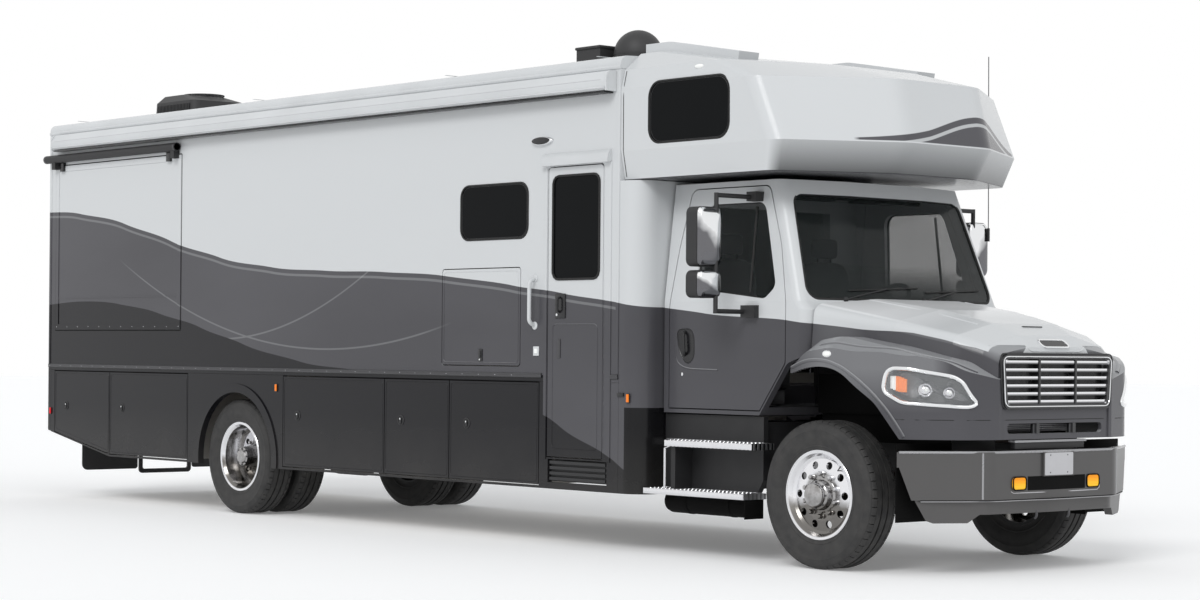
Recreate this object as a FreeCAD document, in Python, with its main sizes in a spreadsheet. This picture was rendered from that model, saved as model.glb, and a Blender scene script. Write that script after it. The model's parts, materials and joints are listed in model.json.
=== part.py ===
"""Motorhome with an over-cab bunk, built on a bonneted truck chassis.

Units are millimetres.  +X points forward, +Y to the vehicle's left and +Z up.  The origin is on the
ground, midway along the overall length and on the centre line.

Driving sizes live in the spreadsheet "Dims".  Every piece is bound to its cells by expressions: a Size
carries both a value and the expression text that gives it.
"""
import FreeCAD, Part
import math
import os
import Sketcher

V = FreeCAD.Vector
doc = FreeCAD.newDocument("Motorhome")

# ---------------------------------------------------------------------------------- driving sizes
DIMENSIONS = [
    # alias, value, what it is
    ("rear_end", -5600, "outside face of the rear wall"),
    ("front_end", 5600, "front of the bumper"),
    ("half_width", 1270, "half the body width"),
    ("wall_thick", 50, "house wall thickness"),
    ("skirt_low", 420, "lower edge of the skirts"),
    ("tail_low", 627, "lower edge of the rear wall, where the tail is swept up"),
    ("tail_bend", -4450, "where the swept tail meets the level skirt"),
    ("floor_low", 1215, "underside of the house floor and top of the skirts"),
    ("floor_top", 1290, "top of the house floor"),
    ("eave", 3480, "top of the side walls"),
    ("roof_top", 3600, "top of the roof at the centre line"),
    ("house_front", 2640, "seam between the side walls and the front cap"),
    ("front_wall_face", 2850, "front face of the house beside the cab"),
    ("bay_low", 445, "lower edge of the bay doors"),
    ("bay_high", 1205, "upper edge of the bay doors"),
    ("bay_depth", 500, "centre line to the back of the bays"),
    ("front_axle", 4500, "front axle centre"),
    ("rear_axle", -2360, "rear axle centre"),
    ("tyre_radius", 498, "tyre radius, and so the axle height"),
    ("tyre_width", 276, "tyre section width"),
    ("front_track", 1030, "centre line to the front tyre's centre plane"),
    ("rear_outer", 1088, "centre line to the outer twin tyre's centre plane"),
    ("rear_inner", 748, "centre line to the inner twin tyre's centre plane"),
    ("rim_radius", 300, "radius of the rim flange"),
    ("kingpin", 850, "centre line to the steering pivot"),
    ("rail_outer", 432, "centre line to the outside of a frame rail"),
    ("rail_low", 640, "underside of the frame rails"),
    ("rail_high", 910, "top of the frame rails"),
    ("rail_rear", -5510, "rear end of the frame rails"),
    ("rail_front", 5410, "front end of the frame rails"),
    ("cab_rear", 2872, "back of the cab"),
    ("cab_low", 1010, "underside of the cab floor"),
    ("cab_belt", 1800, "foot of the windows"),
    ("cab_roof", 2645, "top of the cab roof"),
    ("cab_half", 1040, "half the cab width at the belt"),
    ("cab_roof_half", 935, "half the cab width at the roof"),
    ("cab_thick", 55, "thickness of the cab walls and doors"),
    ("cowl_front", 4345, "front of the cowl on the centre line"),
    ("cowl_corner", 4270, "front of the cowl at its sides"),
    ("door_gap", 8, "gap round doors and hatches"),
    ("door_thick", 45, "thickness of the house doors"),
    ("cowl_top", 1740, "height where the cowl starts to lean back to the windscreen"),
    ("arch_top", 1335, "top of the front wheel opening"),
    ("rear_arch_radius", 572, "radius of the rear wheel opening"),
    ("rear_arch_x", -2330, "centre of the rear wheel opening"),
    ("rear_arch_z", 485, "height of the rear wheel opening's centre"),
    ("hood_rear", 4285, "rear edge of the fenders"),
    ("hood_low", 890, "lower edge of the hood and fenders"),
    ("hood_thick", 30, "thickness of the hood and fenders"),
    ("fender_half", 1200, "centre line to the outside of the fenders"),
    ("bumper_low", 350, "lower edge of the front bumper"),
    ("bumper_high", 811, "upper edge of the front bumper"),
]

sheet = doc.addObject("Spreadsheet::Sheet", "Dims")
for row, (alias, value, meaning) in enumerate(DIMENSIONS, start=1):
    sheet.set("A%d" % row, meaning)
    sheet.set("B%d" % row, str(value))
    sheet.setAlias("B%d" % row, alias)
doc.recompute()


class Size:
    """A number together with the sheet expression that gives it."""

    def __init__(self, value, text=None):
        self.value = float(value)
        self.text = text if text is not None else "%.6g" % value

    def __add__(self, other):
        other = size(other)
        return Size(self.value + other.value, "(%s + %s)" % (self.text, other.text))

    def __sub__(self, other):
        other = size(other)
        return Size(self.value - other.value, "(%s - %s)" % (self.text, other.text))

    def __mul__(self, other):
        other = size(other)
        return Size(self.value * other.value, "(%s * %s)" % (self.text, other.text))

    def __truediv__(self, other):
        other = size(other)
        return Size(self.value / other.value, "(%s / %s)" % (self.text, other.text))

    def __rsub__(self, other):
        return size(other) - self

    def __neg__(self):
        return self * -1

    __radd__ = __add__
    __rmul__ = __mul__


def size(amount):
    """Turn a plain number into a Size."""
    return amount if isinstance(amount, Size) else Size(amount)


class Dims:
    """The driving sizes by name."""


for alias, value, meaning in DIMENSIONS:
    setattr(Dims, alias, Size(value, "Dims." + alias))


# ---------------------------------------------------------------------------------- making shapes
AXES = {"X": V(1, 0, 0), "Y": V(0, 1, 0), "Z": V(0, 0, 1)}
TURN = {  # turns a cylinder's own Z axis onto the named axis
    "X": FreeCAD.Rotation(V(0, 1, 0), 90),
    "Y": FreeCAD.Rotation(V(1, 0, 0), -90),
    "Z": FreeCAD.Rotation(),
}
PLANES = {  # plane: the sketch's two directions, its normal, and the axis it is pushed along
    "XY": (AXES["X"], AXES["Y"], AXES["Z"], "Z"),
    "XZ": (AXES["X"], AXES["Z"], -AXES["Y"], "Y"),
    "YZ": (AXES["Y"], AXES["Z"], AXES["X"], "X"),
}


def bind(piece, prop, amount):
    """Bind a property to a sheet expression."""
    piece.setExpression(prop, size(amount).text)


def place(piece, **position):
    """Bind the placement's x, y and z."""
    for axis, amount in position.items():
        bind(piece, "Placement.Base." + axis, amount)


def box(name, x, y, z):
    """A block between two values along each axis."""
    piece = doc.addObject("Part::Box", name)
    for prop, axis, (low, high) in (("Length", "x", x), ("Width", "y", y), ("Height", "z", z)):
        bind(piece, prop, size(high) - low)
        place(piece, **{axis: low})
    return piece


def rod(name, axis, radius, start, length):
    """A cylinder from start along an axis."""
    piece = doc.addObject("Part::Cylinder", name)
    piece.Placement.Rotation = TURN[axis]
    bind(piece, "Radius", radius)
    bind(piece, "Height", length)
    place(piece, x=start[0], y=start[1], z=start[2])
    return piece


def rounded(points):
    """Split a closed outline into segments: (start, None) for a line, (start, arc data) for an arc."""
    corners = []
    for point in points:
        u, v = size(point[0]), size(point[1])
        corners.append((u, v, size(point[2]) if len(point) > 2 else None))
    segments = []
    count = len(corners)
    for index, (u, v, radius) in enumerate(corners):
        if radius is None:
            segments.append(((u, v), None))
            continue
        before, after = corners[index - 1], corners[(index + 1) % count]
        here = V(u.value, v.value, 0)
        back = (V(before[0].value, before[1].value, 0) - here).normalize()
        ahead = (V(after[0].value, after[1].value, 0) - here).normalize()
        half = back.getAngle(ahead) / 2
        reach = radius * (1 / math.tan(half))
        first = (u + reach * back.x, v + reach * back.y)
        last = (u + reach * ahead.x, v + reach * ahead.y)
        middle = here + (back + ahead).normalize() * (radius.value / math.sin(half) - radius.value)
        left_turn = back.cross(ahead).z < 0
        segments.append((first, (radius, middle, left_turn)))
        segments.append((last, None))
    return segments


def outline(name, plane, loops, offset=0):
    """A fully constrained sketch of closed loops, each point bound to the sheet."""
    right, up, normal, axis = PLANES[plane]
    sketch = doc.addObject("Sketcher::SketchObject", name)
    sketch.Placement.Rotation = FreeCAD.Rotation(right, up, normal, "XYZ")
    place(sketch, **{axis.lower(): offset})
    for points in loops:
        segments = rounded(points)
        ends = []
        for index, ((u, v), arc) in enumerate(segments):
            (next_u, next_v), _ = segments[(index + 1) % len(segments)]
            start, stop = V(u.value, v.value, 0), V(next_u.value, next_v.value, 0)
            if arc is None:
                edge = sketch.addGeometry(Part.LineSegment(start, stop), False)
                ends.append((edge, 1, 2))
            else:
                radius, middle, left_turn = arc
                edge = sketch.addGeometry(Part.Arc(start, middle, stop), False)
                ends.append((edge, 1, 2) if left_turn else (edge, 2, 1))
                rule = sketch.addConstraint(Sketcher.Constraint("Radius", edge, radius.value))
                sketch.setExpression("Constraints[%d]" % rule, radius.text)
        for index, (edge, first, last) in enumerate(ends):
            next_edge, next_first, _ = ends[(index + 1) % len(ends)]
            sketch.addConstraint(Sketcher.Constraint("Coincident", edge, last, next_edge, next_first))
            for kind, amount in zip(("DistanceX", "DistanceY"), segments[index][0]):
                rule = Sketcher.Constraint(kind, -1, 1, edge, first, amount.value)
                number = sketch.addConstraint(rule)
                sketch.setExpression("Constraints[%d]" % number, amount.text)
    return sketch


def prism(name, plane, loops, low, high):
    """An outline, with any inner loops as holes, pushed between two values along its normal."""
    sketch = outline(name + "_outline", plane, loops, low)
    piece = doc.addObject("Part::Extrusion", name)
    piece.Base = sketch
    piece.DirMode = "Custom"
    piece.Dir = AXES[PLANES[plane][3]]
    piece.FaceMakerClass = "Part::FaceMakerBullseye"
    piece.Solid = True
    bind(piece, "LengthFwd", size(high) - low)
    return piece


def loft(name, plane, sections):
    """A straight-sided loft through (offset, points) sections."""
    piece = doc.addObject("Part::Loft", name)
    piece.Sections = [
        outline("%s_section_%d" % (name, number), plane, [points], offset)
        for number, (offset, points) in enumerate(sections, start=1)
    ]
    piece.Solid = True
    piece.Ruled = True
    return piece


def fuse(name, *pieces):
    """Pieces joined, or kept as separate solids where they don't touch."""
    joined = doc.addObject("Part::MultiFuse", name)
    joined.Shapes = list(pieces)
    joined.Refine = False
    return joined


def cut(name, base, *tools):
    """A piece with the tools taken away."""
    piece = doc.addObject("Part::Cut", name)
    piece.Base = base
    piece.Tool = tools[0] if len(tools) == 1 else fuse(name + "_tools", *tools)
    return piece


def common(name, base, tool):
    """What two pieces share."""
    piece = doc.addObject("Part::Common", name)
    piece.Base = base
    piece.Tool = tool
    return piece


def mirrored(name, source):
    """The other side's piece."""
    piece = doc.addObject("Part::Mirroring", name)
    piece.Source = source
    piece.Normal = AXES["Y"]
    return piece


def turned(name, points, centre, side):
    """A PartDesign body of revolution about the axle line; u is outboard, v is radius."""
    body = doc.addObject("PartDesign::Body", name)
    sketch = body.newObject("Sketcher::SketchObject", name + "_profile")
    planes = {feature.Role: feature for feature in body.Origin.OriginFeatures}
    sketch.AttachmentSupport = [(planes["XY_Plane"], "")]
    sketch.MapMode = "FlatFace"
    ends = []
    for index, point in enumerate(points):
        start, stop = point, points[(index + 1) % len(points)]
        line = Part.LineSegment(V(size(start[0]).value, size(start[1]).value, 0),
                                V(size(stop[0]).value, size(stop[1]).value, 0))
        ends.append(sketch.addGeometry(line, False))
    for index, edge in enumerate(ends):
        sketch.addConstraint(Sketcher.Constraint("Coincident", edge, 2, ends[(index + 1) % len(ends)], 1))
        for kind, amount in zip(("DistanceX", "DistanceY"), points[index]):
            rule = Sketcher.Constraint(kind, -1, 1, edge, 1, size(amount).value)
            number = sketch.addConstraint(rule)
            sketch.setExpression("Constraints[%d]" % number, size(amount).text)
    spin = body.newObject("PartDesign::Revolution", name + "_turn")
    spin.Profile = sketch
    spin.ReferenceAxis = (sketch, ["H_Axis"])
    spin.Angle = 360
    body.Tip = spin
    body.Placement.Rotation = FreeCAD.Rotation(AXES["Z"], 90 * side)
    place(body, x=centre[0], y=centre[1], z=centre[2])
    return body


def hand_holes(body, count, circle, radius):
    """A ring of round holes through a wheel's disc."""
    planes = {feature.Role: feature for feature in body.Origin.OriginFeatures}
    sketch = body.newObject("Sketcher::SketchObject", body.Name + "_hole_profile")
    sketch.AttachmentSupport = [(planes["YZ_Plane"], "")]
    sketch.MapMode = "FlatFace"
    edge = sketch.addGeometry(Part.Circle(V(circle, 0, 0), V(0, 0, 1), radius), False)
    sketch.addConstraint(Sketcher.Constraint("Radius", edge, radius))
    sketch.addConstraint(Sketcher.Constraint("DistanceX", -1, 1, edge, 3, circle))
    sketch.addConstraint(Sketcher.Constraint("PointOnObject", edge, 3, -1))
    hole = body.newObject("PartDesign::Pocket", body.Name + "_hole")
    hole.Profile = sketch
    hole.Type = "ThroughAll"
    hole.Midplane = True
    ring = body.newObject("PartDesign::PolarPattern", body.Name + "_hole_ring")
    ring.Originals = [hole]
    ring.Axis = (planes["X_Axis"], [""])
    ring.Angle = 360
    ring.Occurrences = count
    body.Tip = ring


NODES = {}


def node(name, piece):
    """Name a finished sub-part; its label names its file."""
    piece.Label = name
    NODES[name] = piece
    return piece


def rectangle(u, v, radius=None):
    """The four corners of a rectangle, rounded if a radius is given."""
    corners = [(u[0], v[0]), (u[1], v[0]), (u[1], v[1]), (u[0], v[1])]
    return corners if radius is None else [corner + (radius,) for corner in corners]


# ---------------------------------------------------------------------------------- chassis
def make_frame():
    """Two channel rails with crossmembers."""
    web, flange = 10, 90
    outer, low, high = Dims.rail_outer, Dims.rail_low, Dims.rail_high
    channel = [
        (outer, low), (outer, high), (outer - flange, high), (outer - flange, high - web),
        (outer - web, high - web), (outer - web, low + web), (outer - flange, low + web),
        (outer - flange, low),
    ]
    left = prism("rail_left", "YZ", [channel], Dims.rail_rear, Dims.rail_front)
    pieces = [left, mirrored("rail_right", left)]
    for number, x in enumerate((5330, 3290, 1900, 300, -1300, -3300, -5400), start=1):
        pieces.append(box("crossmember_%d" % number, (x, x + 70), (-outer + web, outer - web),
                          (low + 50, high - 50)))
    node("frame_rails", fuse("frame_rails", *pieces))


def make_hitch():
    """Square receiver in a hanging frame, with a flap each side of it, carried by the rails' ends."""
    side, bore, centre = 64, 51, 545
    half, hole = side / 2, bore / 2
    thick = 18
    bar_low, bar_half = 600, 935
    back = Dims.rail_rear - thick
    bar = box("hitch_bar", (back, Dims.rail_rear), (-bar_half, bar_half), (bar_low, Dims.rail_low + 60))
    hanger = prism("hitch_frame", "YZ",
                   [[(-300, 195, 40), (300, 195, 40), (300, bar_low + 1), (-300, bar_low + 1)],
                    [(-260, 237, 20), (260, 237, 20), (260, centre - half - 20),
                     (-260, centre - half - 20)],
                    rectangle((-hole, hole), (centre - hole, centre + hole))], back, Dims.rail_rear)
    tube = prism("hitch_tube", "YZ",
                 [rectangle((-half, half), (centre - half, centre + half)),
                  rectangle((-hole, hole), (centre - hole, centre + hole))],
                 Dims.rear_end + 30, Dims.rear_end + 330)
    flaps = [prism("flap_%s" % label, "YZ",
                   [[(inner, 240, 30), (outer, 240, 60), (outer, bar_low + 1), (inner, bar_low + 1)]],
                   back, back + 12)
             for label, inner, outer in (("right", -315, -bar_half), ("left", 315, bar_half))]
    node("hitch", fuse("hitch", bar, hanger, tube, *flaps))


EYE_HALF = 45       # half the height of the eyes at the kingpins


def make_front_axle():
    """Drop beam with an eye at each kingpin and a leaf spring under each rail."""
    x, height = Dims.front_axle, Dims.tyre_radius
    pin = Dims.kingpin
    beam_end = pin - 80
    eye_low, eye_high = height - EYE_HALF, height + EYE_HALF
    pieces = [
        box("axle_beam", (x - 45, x + 45), (-beam_end, beam_end), (height - 100, height - 10)),
        box("axle_neck", (x - 30, x + 30), (-pin, pin), (eye_low, eye_high)),
    ]
    for side, label in ((-1, "right"), (1, "left")):
        inner, outer = size(355), Dims.rail_outer - 2
        across = (inner, outer) if side > 0 else (-outer, -inner)
        pieces.append(box("spring_%s" % label, (x - 640, x + 640), across, (height - 10, height + 45)))
        for end, start in (("rear", -640), ("front", 570)):
            pieces.append(box("hanger_%s_%s" % (end, label), (x + start, x + start + 70), across,
                              (height + 45, Dims.rail_low)))
        pieces.append(rod("axle_eye_%s" % label, "Z", 42, (x, pin * side, eye_low), EYE_HALF * 2))
    node("front_axle", fuse("front_axle", *pieces))


def make_rear_axle():
    """Drive axle tube with its differential and springs."""
    x, height = Dims.rear_axle, Dims.tyre_radius
    tube_end = Dims.rear_inner - 150
    pieces = [
        rod("axle_tube", "Y", 75, (x, -tube_end, height), tube_end * 2),
        rod("differential", "X", 190, (x - 160, 0, height), 380),
    ]
    for side, label in ((-1, "right"), (1, "left")):
        inner, outer = size(355), Dims.rail_outer - 2
        across = (inner, outer) if side > 0 else (-outer, -inner)
        pieces.append(box("rear_spring_%s" % label, (x - 720, x + 720), across, (height + 60, height + 105)))
        for end, start in (("rear", -720), ("front", 640)):
            pieces.append(box("rear_hanger_%s_%s" % (end, label), (x + start, x + start + 80), across,
                              (height + 105, Dims.rail_low)))
    node("rear_axle", fuse("rear_axle", *pieces))


def make_driveline():
    """Engine and gearbox as one plain block, with the shaft to the rear axle and the exhaust."""
    gearbox_rear, pipe_y, pipe_z = 3400, 220, 575
    engine = box("engine", (4330, 5180), (-330, 330), (700, 1400))
    gearbox = box("gearbox", (gearbox_rear, 4330), (-230, 230), (560, 960))
    shaft_rear = Dims.rear_axle + 220
    shaft = rod("shaft", "X", 50, (shaft_rear, 0, 600), size(gearbox_rear + 1) - shaft_rear)
    yoke = box("yoke", (shaft_rear, shaft_rear + 60), (-55, 55), (Dims.tyre_radius, 640))
    silencer = rod("silencer", "X", 100, (1700, pipe_y, pipe_z), 800)
    pipe = rod("exhaust_pipe", "X", 42, (-1500, pipe_y, pipe_z), gearbox_rear + 1501)
    hanger = box("exhaust_hanger", (1915, 1955), (pipe_y - 20, pipe_y + 20), (660, Dims.rail_low + 50))
    node("driveline", fuse("driveline", engine, gearbox, shaft, yoke, silencer, pipe, hanger))


def make_side_tanks():
    """Fuel tank on the left and battery and step box on the right, under the cab doors."""
    left = box("fuel_tank", (2900, 3800), (450, 960), (500, 960))
    right = box("battery_box", (2900, 3800), (-960, -450), (500, 960))
    straps = [box("tank_strap_%d" % number, (x, x + 60), (Dims.rail_outer * side, side * 452), (700, 860))
              for number, (x, side) in enumerate(((3050, 1), (3600, 1)), start=1)]
    right_straps = [box("box_strap_%d" % number, (x, x + 60), (-452, -Dims.rail_outer), (700, 860))
                    for number, x in enumerate((3050, 3600), start=1)]
    node("side_tanks", fuse("side_tanks", left, right, *straps, *right_straps))


def make_cab_steps():
    """Two perforated treads each side, with the dark panel behind them."""
    panel = prism("step_panel", "XZ",
                  [[(2862, 430), (3770, 430), (3850, 560), (3850, 1000), (2862, 1000)]], -1010, -965)
    upper = box("upper_tread", (3066, 3945), (-1215, -1005), (776, 820))
    lower = box("lower_tread", (2861, 3875), (-1225, -1005), (433, 473))
    bracket = box("tread_bracket", (3100, 3144), (-1180, -1005), (470, 780))
    right = fuse("steps_right", panel, upper, lower, bracket)
    left = mirrored("steps_left", right)
    node("cab_steps", fuse("cab_steps", right, left))


def bumper_plan(end_x, end_y, corner_x, corner_y, front_x, thick):
    """Plan outline of a bumper band wrapping round to both sides."""
    back, corner_back = size(end_x) - 10, size(corner_x) - thick
    corner_in = size(corner_y) - thick * 0.4
    return [
        (end_x, -size(end_y)), (corner_x, -size(corner_y), 160), (front_x, 0, 1300),
        (corner_x, corner_y, 160), (end_x, end_y), (back, size(end_y) - thick), (corner_back, corner_in, 100),
        (size(front_x) - thick, 0, 1300), (corner_back, -corner_in, 100), (back, -(size(end_y) - thick)),
    ]


def make_front_bumper():
    """Wrapped bumper with a narrower lower lip, a plate bracket and room for two fog lamps, returned."""
    crease, setback, reach = 500, 8, Dims.front_end + 20
    lip_setback, relief, lamp_back = 40, 405, 5545
    face = prism("bumper_face", "XY", [bumper_plan(5237, 1198, 5566, 650, Dims.front_end - setback, 70)],
                 crease, Dims.bumper_high)
    lip = prism("bumper_lip", "XY", [bumper_plan(5250, 1150, 5530, 640, Dims.front_end - lip_setback, 60)],
                Dims.bumper_low, crease)
    brackets = [box("bumper_bracket_%d" % number, (Dims.rail_front, 5545), (y, y + 60), (650, 760))
                for number, y in enumerate((-420, 360), start=1)]
    plate = box("plate_bracket", (5560, Dims.front_end), (-160, 160), (645, 805))
    slant = [(5150, 300), (5150, 712), (5245, 712), (5290, 490), (5325, 366), (5356, 345), (5400, 300)]
    ends = [prism("bumper_end_%s" % label, "XZ", [slant], low, high)
            for label, low, high in (("right", -1300, -900), ("left", 900, 1300))]
    dip = prism("lip_relief", "YZ", [[(-770, 300), (-770, 345), (-690, relief), (690, relief), (770, 345),
                                      (770, 300)]], 5300, reach)
    lamps, recesses = [], []
    for number, y in enumerate((-385, 385), start=1):
        loops = [rectangle((y - 66, y + 66), (560, 645), 30)]
        lamps.append(prism("fog_lamp_%d" % number, "YZ", loops, lamp_back, 5582))
        recesses.append(prism("fog_lamp_recess_%d" % number, "YZ", loops, lamp_back, reach))
    node("front_bumper", cut("front_bumper", fuse("bumper_whole", face, lip, plate, *brackets),
                             dip, *ends, *recesses))
    return lamps


# ---------------------------------------------------------------------------------- wheels
WHEELS = [
    # name, tyre planes from the centre line, side (-1 right, 1 left), axle
    ("front_right", (Dims.front_track,), -1, Dims.front_axle),
    ("front_left", (Dims.front_track,), 1, Dims.front_axle),
    ("rear_right", (Dims.rear_outer, Dims.rear_inner), -1, Dims.rear_axle),
    ("rear_left", (Dims.rear_outer, Dims.rear_inner), 1, Dims.rear_axle),
]


def tyre_points():
    """Half section of a tyre, closed along the bead; u is outboard, v is radius."""
    half, radius, bead = Dims.tyre_width / 2, Dims.tyre_radius, Dims.rim_radius - 16
    seat, flange = half * 0.79, Dims.rim_radius + 3
    outboard = [
        (seat, bead), (seat, flange), (half * 0.96, bead + 60), (half, bead + 105),
        (half * 0.96, radius - 40), (half * 0.82, radius - 8), (half * 0.5, radius),
    ]
    return [(-u, v) for u, v in outboard] + outboard[::-1]


def make_wheels():
    """Tyres and rims.  Front discs are flush outboard, and the twins' outer discs are dished inward."""
    lip = Dims.tyre_width * 0.40
    flange, seat = Dims.rim_radius, Dims.rim_radius - 17
    hub_reach = 60
    front_rim = [
        (-lip, seat), (-lip, seat - 22), (lip - 60, seat - 34), (lip - 52, 238), (lip - 44, 170),
        (lip - 44, 0), (lip + hub_reach, 0), (lip + hub_reach, 52), (lip + hub_reach - 10, 66),
        (lip - 30, 74), (lip - 26, 172), (lip - 36, 242), (lip - 22, seat - 22), (lip + 2, seat - 4),
        (lip + 6, flange), (lip + 1, flange), (lip + 1, seat),
    ]
    outer_rim = [
        (-lip, seat), (-lip, seat - 22), (-lip + 14, 238), (-lip + 8, 176), (-lip + 8, 0),
        (lip - 18, 0), (lip - 18, 46), (lip - 30, 78), (-lip + 48, 96), (-lip + 26, 176),
        (-lip + 32, 240), (-lip + 70, seat - 24), (lip - 20, seat - 22), (lip + 2, seat - 4),
        (lip + 6, flange), (lip + 1, flange), (lip + 1, seat),
    ]
    inner_rim = [
        (-lip, seat), (-lip, seat - 22), (lip - 40, seat - 26), (lip - 30, 238), (lip - 24, 176),
        (lip - 24, 0), (lip - 2, 0), (lip - 2, 176), (lip - 8, 242), (lip - 4, seat - 18),
        (lip + 2, seat - 4), (lip + 6, flange), (lip + 1, flange), (lip + 1, seat),
    ]
    for name, planes, side, axle in WHEELS:
        tyres, rims = [], []
        for number, offset in enumerate(planes, start=1):
            centre = (axle, offset * side, Dims.tyre_radius)
            tyres.append(turned("tyre_%s_%d" % (name, number), tyre_points(), centre, side))
            if len(planes) == 1:
                rim = turned("rim_%s" % name, front_rim, centre, side)
                hand_holes(rim, 10, 205, 26)
            elif number == 1:
                rim = turned("rim_outer_%s" % name, outer_rim, centre, side)
                hand_holes(rim, 10, 205, 26)
            else:
                rim = turned("rim_inner_%s" % name, inner_rim, centre, side)
            rims.append(rim)
        if len(planes) == 1:
            node("tyre_" + name, tyres[0])
            node("rim_" + name, rims[0])
        else:
            spacer = rod("spacer_" + name, "Y", 130,
                         (axle, (Dims.rear_inner + lip - 4) * side if side > 0
                          else -(Dims.rear_outer - lip + 10), Dims.tyre_radius),
                         Dims.rear_outer - Dims.rear_inner - lip * 2 + 14)
            node("tyres_" + name, fuse("tyres_" + name, *tyres))
            node("rims_" + name, fuse("rims_" + name, *rims, spacer))


def make_knuckles():
    """Steering knuckles: a fork over the axle's eye with the spindle, brake drum and steering arm."""
    x, height = Dims.front_axle, Dims.tyre_radius
    pin, fork = Dims.kingpin, EYE_HALF + 8
    lower, upper = height - fork - 40, height + fork
    right = fuse(
        "knuckle_block_right",
        rod("fork_foot_right", "Z", 50, (x, -pin, lower), 40),
        rod("fork_top_right", "Z", 50, (x, -pin, upper), 40),
        box("fork_web_right", (x - 50, x + 50), (-(pin + 90), -(pin + 50)), (lower, upper + 40)),
        box("fork_foot_web_right", (x - 50, x + 50), (-(pin + 60), -pin), (lower, lower + 40)),
        box("fork_top_web_right", (x - 50, x + 50), (-(pin + 60), -pin), (upper, upper + 40)),
        rod("spindle_right", "Y", 45, (x, -(pin + 170), height), 110),
        rod("brake_drum_right", "Y", 150, (x, -(pin + 140), height), 70),
        box("steering_arm_right", (x - 210, x - 20), (-(pin + 18), -(pin - 18)), (lower, lower + 32)),
    )
    node("knuckle_right", right)
    node("knuckle_left", mirrored("knuckle_left", right))


# ---------------------------------------------------------------------------------- cab
def cab_plan(rear, front, corner_x, half):
    """Plan outline of the cab at one height, with the windscreen's curve at the front."""
    return [
        (rear, -half), (corner_x, -half, 80), (front, -(half * 0.42), 500), (front, half * 0.42, 500),
        (corner_x, half, 80), (rear, half),
    ]


def cab_block(name, inset):
    """The cab's outer form, or the space inside it when inset is the wall thickness."""
    inset = size(inset)
    half, roof_half = Dims.cab_half - inset, Dims.cab_roof_half - inset
    rear = Dims.cab_rear + inset
    cowl = cab_plan(rear, Dims.cowl_front - inset, Dims.cowl_corner - inset, half)
    belt = cab_plan(rear, Dims.cowl_front - 15 - inset, Dims.cowl_corner - 60 - inset, half)
    roof = cab_plan(rear, 4020 - inset, 3915 - inset, roof_half)
    return loft(name, "XY", [
        (Dims.cab_low + inset, cowl), (Dims.cowl_top, cowl), (Dims.cab_belt, belt),
        (Dims.cab_roof - inset, roof)])


def door_outline(grow):
    """Side outline of a cab door, grown by a gap; its lower front edge follows the wheel opening."""
    return [
        (2928 - grow, 1045 - grow), (3834 + grow * 0.5, 1045 - grow), (4075 + grow, 1375 - grow * 0.6, 60),
        (4075 + grow, 1800), (3985 + grow, 2190, 400), (3822 + grow, 2600 + grow, 70),
        (3060 - grow, 2600 + grow, 70), (2980 - grow, 2185), (2928 - grow, 1755),
    ]


def make_cab():
    """Cab shell with its windscreen, doors and door glass."""
    thick, glass_thick = Dims.cab_thick, 8
    far, near = -(Dims.cab_half + 20), -(Dims.cab_half - 260)
    walls = cut("cab_walls", cab_block("cab_outer", 0), cab_block("cab_inner", thick))
    opening = prism("door_opening_right", "XZ", [door_outline(Dims.door_gap.value)], far, near)
    screen_outline = [(-968, 1812, 80), (968, 1812, 80), (862, 2545, 90), (-862, 2545, 90)]
    screen = prism("screen_opening", "YZ", [screen_outline], 3860, 4400)
    passage = box("cab_passage", (2800, 2990), (-620, 620), (1200, 2500))
    tunnel = box("engine_tunnel", (4000, 4400), (-380, 380), (900, 1440))
    well = prism("cab_wheel_well", "XZ", [[
        (3790, 950), (3862, 1050), (4096, 1372, 90), (4300, 1440, 60), (4420, 1440), (4420, 950),
    ]], -1100, 1100)
    node("cab_shell", cut("cab_shell", walls, opening, mirrored("door_opening_left", opening), screen,
                          passage, tunnel, well))

    pane = cut("screen_skin", cab_block("screen_outer", 6), cab_block("screen_inner", 6 + glass_thick))
    screen_fit = prism("screen_fit", "YZ", [screen_outline], 3900, 4400)
    node("windscreen", common("windscreen", pane, screen_fit))

    window = [(3175, 1862, 60), (3445, 1862, 60), (3873, 1815, 70), (3972, 1900, 70), (3884, 2196, 500),
              (3795, 2490, 90), (3225, 2490, 90)]
    slab = prism("door_blank_right", "XZ", [door_outline(0)], far, near)
    floor_edge = box("door_foot_clearance", (2800, 4300), (-(Dims.cab_half - thick), 0), (1000, 1200))
    skin = cut("door_walls", cab_block("door_outer", 0), cab_block("door_inner", thick), floor_edge)
    hole = prism("door_window_right", "XZ", [window], far, near)
    door_right = cut("door_shell_right", common("door_skin_right", skin, slab), hole)
    node("door_shell_right", door_right)
    node("door_shell_left", mirrored("door_shell_left", door_right))

    pane_skin = cut("pane_skin", cab_block("pane_outer", 18), cab_block("pane_inner", 18 + glass_thick))
    pane_fit = prism("pane_fit", "XZ", [window], far, near)
    door_glass = common("door_glass_right", pane_skin, pane_fit)
    node("door_glass_right", door_glass)
    node("door_glass_left", mirrored("door_glass_left", door_glass))
    return door_right


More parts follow.
